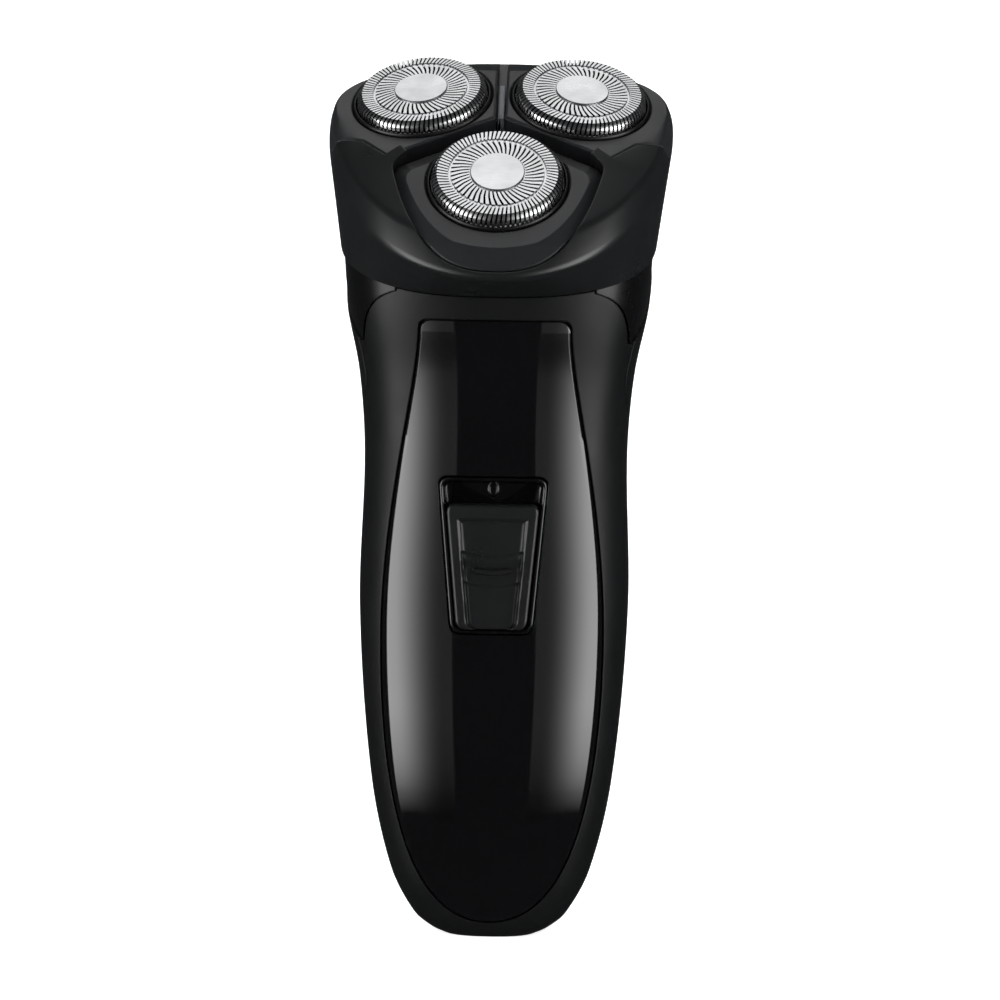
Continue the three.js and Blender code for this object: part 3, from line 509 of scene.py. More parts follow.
def satin_abs(finish):
    # Bead-blasted ABS: a shade lighter and smoother, so that its facets catch soft highlights.
    return moulded("satin moulded ABS", tuple(finish.head), 0.3, 0.012, 0.3, 0.03, 0.25, 0.42)


def petal_abs(finish):
    # Matte dark grey ABS plates, drier than the housing around them.
    return moulded("matte grey ABS", tuple(finish.petal), 0.3, 0.015, 0.36, 0.04, 0.3, 0.35)


def polished_abs(finish):
    """Piano-black lacquered ABS: a deep mirror with faint waves and hairline wear."""
    made, tree, shader = new_material("polished black ABS")
    base = tuple(finish.gloss)
    wave = noise(tree, object_grid(tree), 22.0, 2.0)
    hairs = noise(tree, object_grid(tree, (0.3, 0.5, 0.2), (1, 1, 0.04)), 0.5, 2.0)
    tree.links.new(tones(tree, wave, shade(base, 0.8), shade(base, 1.5)), shader.inputs["Base Color"])
    tree.links.new(spread(tree, hairs, 0.05, 0.085, 0.55, 0.75), shader.inputs["Roughness"])
    tree.links.new(relief(tree, wave, 0.02, 0.12, 0.25), shader.inputs["Normal"])
    shader.inputs["IOR"].default_value = 1.52
    return made


def guard_steel(finish):
    # Stamped stainless steel, ground on top: bright, with short lines that break the reflections.
    return ground_metal(
        "ground stainless steel", tuple(finish.steel), 0.27, (0.6, 0, 0.5), (1, 1, 1), 0.35, 0.25
    )


def brushed_steel(finish):
    # Linear brushed stainless steel on the round badges: long fine lines across the disc.
    return ground_metal(
        "brushed stainless steel", shade(tuple(finish.steel), 1.02), 0.3, (0.6, 0, 0), (0.05, 1, 1), 0.16, 0.5
    )


def cutter_steel_painted_shade(_):
    # Hardened cutter steel, painted near black as painted shade under the guard.
    return ground_metal("hardened cutter steel, painted shade", linear("#1C1D1F"), 0.5, (0, 0.4, 0), (1, 0.2, 1), 0.4, 0.3)


def painted_shade_steel(_):
    # The inner wall of a guard, painted near black as painted shade inside the head.
    return moulded("inner steel, painted shade", linear("#0E0F10"), 0.6, 0.02, 0.5, 0.06, 0.5)


def dark_ring(_):
    # Glass-filled nylon ring that the guard floats in: near black, half gloss.
    return moulded("glass-filled nylon", linear("#0B0B0C"), 0.5, 0.02, 0.34, 0.05, 0.3)


def half_gloss_abs(_):
    # Black ABS from a finely honed mould: dark, with a soft wide gleam.
    return moulded("half-gloss black ABS", linear("#070708"), 0.5, 0.008, 0.3, 0.03, 0.2, 0.25)


def bar_grey(finish):
    # Pale grey ABS bar, lightly grained.
    return moulded("pale grey ABS", tuple(finish.bar), 0.4, 0.02, 0.42, 0.05, 0.4)


def inner_grey(_):
    # Unpainted structural ABS inside the shaver: mid grey with flow marks.
    return moulded("structural grey ABS", linear("#8E9194"), 0.8, 0.03, 0.5, 0.06, 0.4)


def acetal(_):
    # Milled-looking acetal of the gears and spindles: milky white, waxy and slightly soft to light.
    return moulded("white acetal", linear("#E6E3DA"), 1.2, 0.02, 0.4, 0.05, 0.3)


def brass(_):
    # Drawn brass of the contacts and the pinion.
    return ground_metal("drawn brass", linear("#C9A24B"), 0.3, (0, 0, 0), (1, 1, 0.1), 0.3, 0.3)


def zinc_steel(_):
    # Zinc-plated steel of the motor can and screws: cool grey, faintly blotched.
    return ground_metal("zinc-plated steel", linear("#9DA1A4"), 0.36, (0.4, 0, 0), (1, 1, 0.3), 0.8, 0.25)


def circuit_lacquer(_):
    """Green solder lacquer over copper tracks: a maze of slightly raised lighter lines."""
    made, tree, shader = new_material("green solder lacquer")
    grid = object_grid(tree)
    tracks = add_node(
        tree, "ShaderNodeTexBrick",
        {"Vector": grid, "Scale": 160.0, "Mortar Size": 0.05, "Color1": (0.01, 0.09, 0.03, 1),
         "Color2": (0.012, 0.11, 0.035, 1), "Mortar": (0.05, 0.25, 0.09, 1)},
    )
    tree.links.new(tracks.outputs["Color"], shader.inputs["Base Color"])
    tree.links.new(relief(tree, tracks.outputs["Fac"], 0.03, 0.4), shader.inputs["Normal"])
    tree.links.new(spread(tree, noise(tree, grid, 6.0), 0.25, 0.4), shader.inputs["Roughness"])
    return made


def cell_sleeve(_):
    # Shrink-wrapped PVC sleeve of the rechargeable cell: green, glossy and slightly puckered.
    return moulded("green PVC sleeve", linear("#2C8A5A"), 3.0, 0.12, 0.28, 0.06, 0.5)


MATERIAL_MAKERS = {
    "shell": matte_abs,
    "head": satin_abs,
    "petal": petal_abs,
    "gloss": polished_abs,
    "guard": guard_steel,
    "disc": brushed_steel,
    # The cutter finish is painted near black as painted shade under the guard.
    "cutter": cutter_steel_painted_shade,
    # The inside finish is near-black steel, painted shade inside the head.
    "inside": painted_shade_steel,
    "ring": dark_ring,
    "collar": half_gloss_abs,
    "bar": bar_grey,
    "grey": inner_grey,
    "acetal": acetal,
    "brass": brass,
    "zinc": zinc_steel,
    "board": circuit_lacquer,
    "cell": cell_sleeve,
}
made_materials = {}


def finish_of(name):
    """The named material, made once."""
    if name not in made_materials:
        made_materials[name] = MATERIAL_MAKERS[name](bpy.context.scene.shaver_finish)
    return made_materials[name]


# ---------------------------------------------------------------- outlines and regions

FAR = 90.0
PANEL_TOP = 113.4
PANEL_LOW = 3.4
PANEL_TOP_SIDE = 13.5
PANEL_SIDE = 19.9
PANEL_WIDEST = 55.5
PANEL_SUNK = 0.05  # how far the panel's face lies below the handle's form
LIP_FALL = 0.3
PANEL_EDGE = {"width": 0.35, "fall": 0.2}
SWITCH_OPENING = {"low": 57.0, "high": 85.2, "low_side": 7.25, "high_side": 9.7, "corner": 2.0}
BUTTON = {"low": 57.9, "high": 80.4, "low_side": 6.2, "high_side": 8.3, "corner": 1.6}
SCREWS = [(sign * x, z) for x, z in ((11.5, 17.0), (16.5, 98.0)) for sign in (-1, 1)]
SCREW_BORE = 2.9
SCREW_HEAD_DEPTH = 3.4
INLET_SEAT = ((-5.8, -4.9, -1.0), (5.8, 3.7, 12.2))


def mirrored(half):
    """Closes a right half outline with its mirror image."""
    return half + [(-x, y) for x, y in reversed(half) if abs(x) > 1e-6]


def taper_outline(part, grow=0.0, steps=5):
    """A tapering outline with round corners, wider at the top."""
    low, high = part["low"] - grow, part["high"] + grow
    low_side, high_side = part["low_side"] + grow, part["high_side"] + grow
    corner = max(part["corner"] + min(grow, 0.0) * 0.7, 0.3)
    half = [(0, low), (low_side - corner, low)]
    half += quadratic(half[-1], (low_side, low), (low_side + 0.2, low + corner), steps)
    half.append((high_side - 0.1, high - corner))
    half += quadratic(half[-1], (high_side, high), (high_side - corner, high), steps)
    half.append((0, high))
    return mirrored(half)


def panel_half(grow=0.0, steps=36):
    """Right half of the front panel's outline, from its top corner to the foot."""
    high, low = PANEL_TOP + grow, PANEL_LOW - grow
    side, wide = PANEL_TOP_SIDE + grow, PANEL_SIDE + grow
    half = [(side - 2, high)]
    half += quadratic(half[-1], (side, high), (side, high - 2), 6)
    half += bezier(half[-1], (side, high - 12), (wide, PANEL_WIDEST + 24), (wide, PANEL_WIDEST), steps)
    half += bezier(half[-1], (wide, PANEL_WIDEST - 26), (side + 2, low), (0, low), steps)
    return half


def front_region(offset):
    """Everything in front of the line where the two shells meet."""
    low, high = PARTING["low"] + offset, PARTING["high"] + offset
    start, end = PARTING["start"], PARTING["end"]
    middle = (start + end) / 2
    outline = [(-FAR, -FAR), (low, -FAR), (low, start)]
    outline += bezier((low, start), (low, middle), (high, middle), (high, end), 16)
    outline += [(high, 2 * FAR), (-FAR, 2 * FAR)]
    return prism("front_region", outline, -FAR, FAR, sideways)


def shoulder_region(offset=0.0):
    """The front shell's own area: full width below, round shoulders at the top."""
    inner, outer = SHOULDER["inner"] + offset, SHOULDER["outer"] + offset
    top, bottom = SHOULDER["top"], SHOULDER["bottom"]
    half = [(FAR, -FAR), (FAR, bottom), (outer, bottom)]
    half += bezier(half[-1], (outer, top - 2), (inner + 3, top - 1), (inner, top), 12)
    half.append((inner, 2 * FAR))
    return prism("shoulder_region", mirrored(half), -FAR, FAR, facing)


def above(plane, offset=0.0):
    """Everything above a tilted plane."""
    lift = offset / math.cos(math.radians(plane["tilt"]))
    lines = Matrix.Translation((0, 0, lift)) @ tilted(plane)
    return block((-FAR, -FAR, 0), (FAR, FAR, FAR), lambda p: lines @ Vector(p))


HANDLE_HEIGHTS = (
    [0, 0.3, 0.6, 1.0, 1.6, 2.2, 2.9, 3.6, 4.6, 5.8, 7.2, 8.8, 10.4, 12]
    + [12 + 2.25 * i for i in range(1, 57)]
)


def handle_form(inset, bottom, around=168):
    """The handle's whole form, or the form of its inside."""
    rings = []
    for z in [bottom] + [h for h in HANDLE_HEIGHTS if h > bottom + 0.2]:
        rings.append([section_point(2 * math.pi * i / around, z, inset) for i in range(around)])
    return lofted("handle_form", rings)


def rounded_path(points, corners, steps=4):
    """A path whose inner corners are turned into small curves of the given sizes."""
    path = [points[0]]
    for before, corner, after, size in zip(points, points[1:], points[2:], corners):
        start = corner + (before - corner).normalized() * size
        end = corner + (after - corner).normalized() * size
        for i in range(steps + 1):
            t = i / steps
            path.append(start * (1 - t) ** 2 + corner * 2 * t * (1 - t) + end * t ** 2)
    path.append(points[-1])
    return path


def head_form(around=176):
    """Outer form of the head: neck, crease, rim and raised middle, with the corners eased."""
    columns = []
    for i in range(around):
        angle = 2 * math.pi * i / around
        points = [
            neck_point(angle, -0.25, GAP / 2),
            HEAD_FRAME @ outline_point(CREASE, angle),
            HEAD_FRAME @ outline_point(RIM, angle),
            HEAD_FRAME @ outline_point(PLATEAU, angle),
        ]
        columns.append(rounded_path(points, (1.1, 0.9)))
    rings = [list(ring) for ring in zip(*columns)]
    lower = [[a.lerp(b, t / 6) for a, b in zip(rings[0], rings[1])] for t in range(1, 6)]
    return lofted("head_form", rings[:1] + lower + rings[1:])


def head_hollow(around=96):
    """The hollow under the petal ledge, open towards the handle."""
    angles = [2 * math.pi * i / around for i in range(around)]
    return lofted("head_hollow", [
        [neck_point(a, 1.5, -4) for a in angles],
        [neck_point(a, 1.5, 0.6) for a in angles],
        [HEAD_FRAME @ outline_point(CREASE, a, 2.1, 2.2) for a in angles],
    ])


def petal_outline(side, grow=0.0, steps=10):
    """A petal's outline in the head plane."""
    if side == "front":
        apex, wide, low = -2 * NOTCH + grow, 18.9 + grow, PETAL_LOW - grow
        half = [(0, apex), (wide - 2.5, apex - 9.2)]
        half += quadratic(half[-1], (wide, apex - 10.4), (wide - 0.5, apex - 13), steps)
        half += bezier(half[-1], (wide - 3.7, low + 6), (9.5 + grow, low), (0, low), 2 * steps)
        return mirrored(half)
    sign = 1 if side == "right" else -1
    inner = NOTCH - grow
    half = [
        (inner, 0.5 - grow), (20.2 + grow / 2, -9.7 - grow), (24.6 + grow / 2, -4.4 - grow),
        (40, 1 - grow), (40, 40), (inner, 40),
    ]
    return [(sign * x, y) for x, y in half]


def on_face(side, x, along, drop):
    """The point of a petal's face plane, lowered by a drop, over a place in the head plane."""
    out = cutter_frame(side)
    normal = out.to_3x3() @ Vector((0, 0, 1))
    origin = out @ Vector((0, 0, -drop))
    foot = HEAD_FRAME @ Vector((x, along, 0))
    up = HEAD_FRAME.to_3x3() @ Vector((0, 0, 1))
    return foot + up * ((origin - foot).dot(normal) / up.dot(normal))


# ---------------------------------------------------------------- handle pieces


def unite_screw_bosses(shell, region_sign):
    """Adds the four screw bosses inside a shell: 1 for the back shell and -1 for the front shell."""
    for x, z in SCREWS:
        near, far = (PARTING["low"] + GAP, FAR) if region_sign > 0 else (-FAR, PARTING["low"] - 0.4)
        radius = SCREW_BORE + (0.9 if region_sign > 0 else 0)
        boss = combined(along_y(radius, near, far, x, z), "INTERSECT", handle_form(WALL / 2, 0, 64))
        operation = "DIFFERENCE" if region_sign > 0 else "INTERSECT"
        combined(boss, operation, front_region(region_sign * GAP))
        combined(shell, "UNION", boss)
    return shell


def inlet_seat():
    """The notch in the foot that the charging inlet sits in."""
    return block(*INLET_SEAT)


def front_shell():
    """Front shell: matte sides around the panel, cut off by the joint plane and the shoulders."""
    shell = combined(handle_form(0, 0), "DIFFERENCE", handle_form(WALL, WALL, 96))
    combined(shell, "INTERSECT", front_region(-GAP / 2))
    unite_screw_bosses(shell, -1)
    combined(shell, "DIFFERENCE", above(JOINT_PLANE, -GAP / 2))
    combined(shell, "INTERSECT", shoulder_region())
    outline = mirrored([(0, PANEL_TOP + GAP)] + panel_half(GAP))
    pocket = prism("pocket", outline, -FAR, 0, facing)
    combined(pocket, "DIFFERENCE", handle_form(PANEL_THICKNESS + GAP, -5))
    opening = prism("opening", taper_outline(SWITCH_OPENING, GAP), -FAR, 0, facing)
    combined(shell, "DIFFERENCE", pocket, opening, inlet_seat())
    bores = [along_y(1.45, -5.6, FAR, x, z) for x, z in SCREWS]
    combined(shell, "DIFFERENCE", *bores)
    shell.name = "shell_front"
    return shell


def rear_shell():
    """Rear shell with four deep screw bores, ending at the collar line."""
    shell = combined(handle_form(0, 0), "DIFFERENCE", handle_form(WALL, WALL, 96))
    combined(shell, "DIFFERENCE", front_region(GAP / 2))
    unite_screw_bosses(shell, 1)
    combined(shell, "DIFFERENCE", above(COLLAR_PLANE, -GAP), inlet_seat())
    for x, z in SCREWS:
        side, _, back = smooth_sections(z)
        face = back * (1 - abs(x / side) ** BACK_POWER) ** (1 / BACK_POWER)
        head = along_y(SCREW_BORE, face - SCREW_HEAD_DEPTH - 1.8, FAR, x, z)
        combined(shell, "DIFFERENCE", along_y(1.55, -FAR, FAR, x, z), head)
    shell.name = "shell_rear"
    return shell


def collar():
    """Glossy collar: a sloping band behind the shoulders that carries the head."""
    ring = combined(handle_form(0.35, 60), "DIFFERENCE", handle_form(WALL + 0.35, 50, 96))
    combined(ring, "INTERSECT", above(COLLAR_PLANE))
    shell_front = combined(shoulder_region(GAP), "INTERSECT", front_region(GAP))
    combined(ring, "DIFFERENCE", above(JOINT_PLANE, -GAP / 2), shell_front)
    ring.name = "collar_band"
    return ring


def front_panel(lip, columns=72):
    """Front panel as one curved sheet: its rows follow the outline, and its top edge is a sloping lip."""
    rows = [(x, z) for x, z in panel_half() if x > 0.05]
    cut = PANEL_TOP - lip
    in_lip = sum(1 for _, z in rows if z > cut)
    rows.insert(in_lip, (rows[in_lip][0], cut))
    front, back = [], []
    for half, z in rows:
        for i in range(columns + 1):
            x = half * (2 * i / columns - 1)
            fall = LIP_FALL * max(0.0, z - cut) / lip
            edge = max(0.0, 1 - (half - abs(x)) / PANEL_EDGE["width"])
            y = front_y(x, z, PANEL_SUNK)
            front.append((x, y + fall + PANEL_EDGE["fall"] * edge ** 2, z))
            back.append((x, y + PANEL_THICKNESS, z))
    width, high = columns + 1, len(rows)
    total = width * high
    faces = []
    for r in range(high - 1):
        for c in range(columns):
            a, b = r * width + c, r * width + c + 1
            faces.append((a, a + width, b + width, b))
            faces.append((total + a, total + b, total + b + width, total + a + width))
    rim = [r * width for r in range(high)] + [(high - 1) * width + c for c in range(1, columns + 1)]
    rim += [r * width + columns for r in range(high - 2, -1, -1)] + list(range(columns - 1, 0, -1))
    for a, b in zip(rim, rim[1:] + rim[:1]):
        faces.append((a, b, b + total, a + total))
    panel = settled(object_of("panel_front", front + back, faces))
    opening = prism("opening", taper_outline(SWITCH_OPENING, GAP), -FAR, 0, facing)
    return combined(panel, "DIFFERENCE", opening)


# ---------------------------------------------------------------- switch

SWITCH_FACE = front_y(0, (SWITCH_OPENING["low"] + SWITCH_OPENING["high"]) / 2)
BEZEL_FLOOR = SWITCH_FACE + 2.6
BUTTON_FACE = SWITCH_FACE - 1.3
SWITCH_TRAVEL = 3.8
STEM_HALF = 2.2
STEM_LOW = (BUTTON["low"] + BUTTON["high"]) / 2 - 4
STEM_HIGH = STEM_LOW + 8
GRIP_HEIGHT = 68.2
GRIP = {"half_width": 3.65, "half_thickness": 0.62, "depth": 0.95}
SMILE = 0.028  # bend of the steps and of the bar: rise per square millimetre off the middle
BUTTON_FRAME = {"side": 1.75, "top": 2.5}
BUTTON_EDGE = 0.4
MARK = {"half_width": 0.8, "half_height": 1.15, "wire": 0.17, "proud": 0.12, "z": 82.9}


def switch_bezel():
    """Glossy tray: a rim flush with the panel, walls that slope in, and a slot for the stem."""
    def ring(grow, depth):
        return [Vector((x, depth(x, z), z)) for x, z in taper_outline(SWITCH_OPENING, grow, 8)]

    def flush(inset):
        return lambda x, z: front_y(x, z, inset)

    rings = [
        ring(0, lambda x, z: BEZEL_FLOOR + 1.2),
        ring(0, flush(0.1)),
        ring(-0.12, flush(-0.06)),
        ring(-0.35, flush(-0.06)),
        ring(-0.6, flush(0.12)),
        ring(-0.95, lambda x, z: BEZEL_FLOOR - 0.3),
        ring(-1.2, lambda x, z: BEZEL_FLOOR),
    ]
    tray = lofted("bezel_switch", rings)
    slot_top = STEM_HIGH + SWITCH_TRAVEL + GAP
    slot = block((-STEM_HALF - GAP, -FAR, STEM_LOW - GAP), (STEM_HALF + GAP, 0, slot_top))
    return combined(tray, "DIFFERENCE", slot)


def position_mark():
    """A plain raised loop above the button that shows where off is."""
    columns, sides = 36, 8
    across, upwards = MARK["half_width"], MARK["half_height"]
    rings = []
    for i in range(columns):
        angle = 2 * math.pi * i / columns
        middle = Vector((across * math.cos(angle), upwards * math.sin(angle)))
        out = Vector((upwards * math.cos(angle), across * math.sin(angle))).normalized()
        ring = []
        for j in range(sides):
            turn = 2 * math.pi * j / sides
            away = out * MARK["wire"] * math.cos(turn)
            depth = BEZEL_FLOOR - MARK["proud"] * math.sin(turn)
            ring.append(Vector((middle.x + away.x, depth, MARK["z"] + middle.y + away.y)))
        rings.append(ring)
    return lofted("mark_position", rings, closed_ends=False)


def button_depth(x, z, half):
    """How far the button's face lies behind its frame at a place."""
    edge = half - abs(x)
    top = BUTTON["high"] - z
    border = min(edge - BUTTON_FRAME["side"], top - BUTTON_FRAME["top"])
    sunk = min(max(border / 0.35, 0.0), 1.0)
    groove = max(0.0, 1 - abs(border - 0.45) / 0.4)
    smile = z - SMILE * x * x
    rise = 0.0
    for start in (GRIP_HEIGHT - 2.3, GRIP_HEIGHT + 3.1):
        rise += min(max((start - smile) / 0.5, 0.0), 1.0) * 0.32
    dish = 0.38 * math.exp(-((smile - GRIP_HEIGHT) / 1.35) ** 2)
    return sunk * (0.28 + rise + dish) + 0.22 * groove


def switch_button(columns=84, rows=150):
    """Thumb button: a raised frame around a sunk field with two smile-shaped steps and a curved slot."""
    outline = taper_outline(BUTTON, 0, 12)
    low, high = BUTTON["low"], BUTTON["high"]
    right = [(x, z) for x, z in outline if x > 0 and low < z < high]
    right.sort(key=lambda p: p[1])

    def half_width(z):
        for (x0, z0), (x1, z1) in zip(right, right[1:]):
            if z0 <= z <= z1:
                return x0 + (x1 - x0) * (z - z0) / max(z1 - z0, 1e-9)
        return right[0][0] if z < right[0][1] else right[-1][0]

    front, back = [], []
    for r in range(rows + 1):
        z = low + 0.02 + (high - low - 0.04) * r / rows
        half = half_width(z)
        for c in range(columns + 1):
            x = half * (2 * c / columns - 1)
            soft = max(0.0, 1 - min(half - abs(x), high - z, z - low) / BUTTON_EDGE)
            crown = 0.3 * (x / BUTTON["high_side"]) ** 2
            front.append((x, BUTTON_FACE + crown + button_depth(x, z, half) + 0.3 * soft ** 2, z))
            back.append((x, BEZEL_FLOOR - 0.25, z))
    width, total = columns + 1, (columns + 1) * (rows + 1)
    faces = []
    for r in range(rows):
        for c in range(columns):
            a, b = r * width + c, r * width + c + 1
            faces.append((a, b, b + width, a + width))
    rim = list(range(width)) + [r * width + columns for r in range(1, rows + 1)]
    rim += [rows * width + c for c in range(columns - 1, -1, -1)]
    rim += [r * width for r in range(rows - 1, 0, -1)]
    for a, b in zip(rim, rim[1:] + rim[:1]):
        faces.append((a, a + total, b + total, b))
    faces.append(tuple(i + total for i in reversed(rim)))
    pad = settled(object_of("button_switch", front + back, faces))
    stem = block((-STEM_HALF, BEZEL_FLOOR - 0.5, STEM_LOW), (STEM_HALF, BEZEL_FLOOR + 3, STEM_HIGH))
    joined(pad, stem)
    return pad


def joined(obj, *others):
    """Puts other closed solids into the same mesh."""
    bm = bmesh.new()
    for each in (obj, *others):
        bm.from_mesh(each.data)
    bm.to_mesh(obj.data)
    bm.free()
    for other in others:
        bpy.data.objects.remove(other)
    return obj


def grip_bar():
    """Curved bar in the button's slot, with a half-round top."""
    rings = []
    for i in range(25):
        t = 2 * i / 24 - 1
        x = GRIP["half_width"] * t
        thick = GRIP["half_thickness"] * math.sqrt(max(1 - t ** 8, 0.02))
        middle = GRIP_HEIGHT + SMILE * x * x
        ring = []
        for j in range(14):
            turn = math.pi * j / 13
            depth = BUTTON_FACE + GRIP["depth"] - GRIP["half_thickness"] * math.sin(turn)
            ring.append(Vector((x, depth, middle + thick * math.cos(turn))))
        rings.append(ring)
    return lofted("bar_grip", rings)


# ---------------------------------------------------------------- head pieces

WELL_RADIUS = 13.2
GROOVE_HALF_WIDTH = 1.8
# Each groove of the housing: its bearing in degrees and how far it reaches from the middle.
GROOVES = ((90, 40), (-30, 19.5), (-150, 19.5))
LOCK_BORE = 1.7
SEAT = {"radius": 12.7, "mouth": 13.1, "bevel": 0.4}
RING = {"inner": 12.15, "outer": 12.6, "low": -4.2}
GROOVE_BAR = {"half_width": 0.6, "start": 4.25, "end": 14.75, "top": -3.5, "bevel": 0.15}


def head_housing():
    """Head housing: the outer form, hollowed below and cut for petals, wells and grooves."""
    housing = head_form()
    cutters = [head_hollow()]
    for side in SIDES:
        cutters.append(prism("pocket", petal_outline(side, GAP), LEDGE, 15, in_head))
        cutters.append(post(WELL_RADIUS, LEDGE - 1.2, FAR, cutter_frame(side)))
    half = GROOVE_HALF_WIDTH
    for bearing, reach in GROOVES:
        turn = HEAD_FRAME @ Matrix.Rotation(math.radians(bearing), 4, "Z")
        cutters.append(block((0, -half, LEDGE), (reach, half, 15), lambda p, m=turn: m @ Vector(p)))
    cutters.append(post(LOCK_BORE, -15, -8.5, HEAD_FRAME, 40))
    combined(housing, "DIFFERENCE", *cutters)
    housing.name = "housing_head"
    return housing


def petal(side, chamfer):
    """A matte plate with sloping borders around one cutter."""
    width = chamfer if side == "front" else 0.5
    fall = 0.55 * width
    rings = [[in_head(x, y, PETAL_BASE) for x, y in petal_outline(side)]]
    rings.append([on_face(side, x, y, fall) for x, y in petal_outline(side)])
    inner = petal_outline(side, -width)
    rings.append([on_face(side, x, y, 0) for x, y in inner])
    plate = lofted("petal", rings)
    combined(plate, "INTERSECT", head_form())
    radius, mouth = SEAT["radius"], SEAT["mouth"]
    profile = [(radius, -22), (radius, -SEAT["bevel"]), (mouth, 0.01), (mouth, 20)]
    seat = lathe("seat", profile, cutter_frame(side), 128)
    combined(plate, "DIFFERENCE", seat)
    plate.name = "plate_" + side
    return plate


def cap_holder(side):
    """Dark ring that a guard cap floats in."""
    inner, outer, low = RING["inner"], RING["outer"], RING["low"]
    profile = [
        (inner, low), (outer, low), (outer, 0.05), (12.5, 0.32), (12.35, 0.45), (12.2, 0.36), (inner, 0.1),
    ]
    return lathe("holder_" + side, profile, cutter_frame(side), 128, hollow=True)


def groove_bar():
    """Pale flat bar between the two rear petals, with eased ends."""
    low, high = LEDGE + 0.1, GROOVE_BAR["top"]
    half, start, end = GROOVE_BAR["half_width"], GROOVE_BAR["start"], GROOVE_BAR["end"]
    middle = (start + end) / 2
    outline = [(-half, start), (half, start), (half, end), (-half, end)]
    small = [(x * 0.75, middle + (y - middle) * 0.98) for x, y in outline]
    rings = [[in_head(x, y, h) for x, y in outline] for h in (low, high - GROOVE_BAR["bevel"])]
    rings.append([in_head(x, y, high) for x, y in small])
    return lofted("bar_groove", rings)


# ---------------------------------------------------------------- guard caps

CAP_RADIUS = 11.85
CAP_TOP = 2.3
# Twist of the bars along their length, in degrees.
INNER_LEAN = 9
OUTER_LEAN = -4
# Each station of a bar: radius and height on top, then the same on its underside.
INNER_BAR = ((4.9, 2.3, 4.9, 1.8), (6.6, 2.3, 6.6, 1.8), (8.35, 2.3, 8.35, 1.8))
OUTER_BAR = (
    (8.8, 2.3, 8.8, 1.8),
    (10.8, 2.29, 10.6, 1.79),
    (11.12, 2.04, 10.87, 1.65),
    (11.55, 1.62, 11.2, 1.36),
    (11.78, 1.2, 11.35, 1.05),
    (11.85, 0.0, 11.4, 0.0),
)


def guard_bar(name, stations, number, slot_share, lean):
    """One bar between two slots, lying along its ring's radius; lean is its twist in degrees."""
    width = (1 - slot_share) * math.pi / number
    first, last = stations[0][0], stations[-1][0]
    rings = []
    for r, h, under_r, under_h in stations:
        turn = math.radians(lean) * ((r - first) / (last - first) - 0.5)
        ring = []
        for radius, height, side in ((r, h, -1), (r, h, 1), (under_r, under_h, 1), (under_r, under_h, -1)):
            angle = turn + side * width
            ring.append(Vector((radius * math.cos(angle), radius * math.sin(angle), height)))
        rings.append(ring)
    return lofted(name, rings, axis=0.0)


def ring_tree():
    """Node tree that repeats a bar round a ring."""
    tree = bpy.data.node_groups.new("ring of bars", "GeometryNodeTree")
    sockets = (("Bar", "NodeSocketGeometry"), ("Count", "NodeSocketInt"), ("Steel", "NodeSocketMaterial"))
    for name, kind in sockets:
        tree.interface.new_socket(name, in_out="INPUT", socket_type=kind)
    tree.interface.new_socket("Ring", in_out="OUTPUT", socket_type="NodeSocketGeometry")
    given = add_node(tree, "NodeGroupInput").outputs
    points = add_node(tree, "GeometryNodePoints", {"Count": given["Count"]}).outputs[0]
    index = add_node(tree, "GeometryNodeInputIndex").outputs[0]
    part = add_node(tree, "ShaderNodeMath", {0: index, 1: given["Count"]}, operation="DIVIDE").outputs[0]
    angle = add_node(tree, "ShaderNodeMath", {0: part, 1: 2 * math.pi}, operation="MULTIPLY").outputs[0]
    turn = add_node(tree, "ShaderNodeCombineXYZ", {"Z": angle}).outputs[0]
    placed = add_node(
        tree, "GeometryNodeInstanceOnPoints", {"Points": points, "Instance": given["Bar"], "Rotation": turn}
    ).outputs[0]
    solid = add_node(tree, "GeometryNodeRealizeInstances", {"Geometry": placed}).outputs[0]
    steel = add_node(
        tree, "GeometryNodeSetMaterial", {"Geometry": solid, "Material": given["Steel"]}
    ).outputs[0]
    add_node(tree, "NodeGroupOutput", {"Ring": steel})
    return tree


def ringed(bar, tree, number, steel):
    """Runs the ring tree on a bar and keeps the result as a plain mesh."""
    modifier = bar.modifiers.new("ring", "NODES")
    modifier.node_group = tree
    names = {item.name: item.identifier for item in tree.interface.items_tree if item.in_out == "INPUT"}
    modifier[names["Count"]] = number
    modifier[names["Steel"]] = steel
    return baked(bar)


def ring_part(name, profile, hollow=True):
    rings = [turned_ring(radius, h, 128) for radius, h in profile]
    return lofted(name, rings, closed_ends=not hollow, axis=0.0)


def guard_cap(side, tree, sizes, steel):
    """Guard cap: a middle plate, two rings of bars with a sunk ring between them, and a solid skirt."""
    parts = [
        ring_part("plate", [(5.05, 1.6), (5.05, 2.25), (5.0, CAP_TOP)], hollow=False),
        ring_part("sunk", [(8.15, 1.45), (9.0, 1.45), (9.0, 1.92), (8.85, 1.98), (8.3, 1.98), (8.15, 1.92)]),
        ring_part("skirt", [(11.45, -1.8), (CAP_RADIUS, -1.8), (CAP_RADIUS, 0.06), (11.45, 0.06)]),
        ringed(guard_bar("inner", INNER_BAR, sizes.inner_slots, sizes.slot_share, INNER_LEAN),
               tree, sizes.inner_slots, steel),
        ringed(guard_bar("outer", OUTER_BAR, sizes.outer_slots, sizes.slot_share, OUTER_LEAN),
               tree, sizes.outer_slots, steel),
    ]
    cap = joined(*parts)
    place = cutter_frame(side)
    place.translation = (place.translation + Vector((0, AXIS_Y, 0))) * MM
    cap.data.transform(place)
    cap.name = "guard_" + side
    return cap


def cap_disc(side):
    """Plain round badge in the middle of a guard cap."""
    profile = [(4.85, CAP_TOP + 0.02), (4.85, CAP_TOP + 0.2), (4.72, CAP_TOP + 0.3)]
    return lathe("disc_" + side, profile, cutter_frame(side), 96)


# ---------------------------------------------------------------- operators


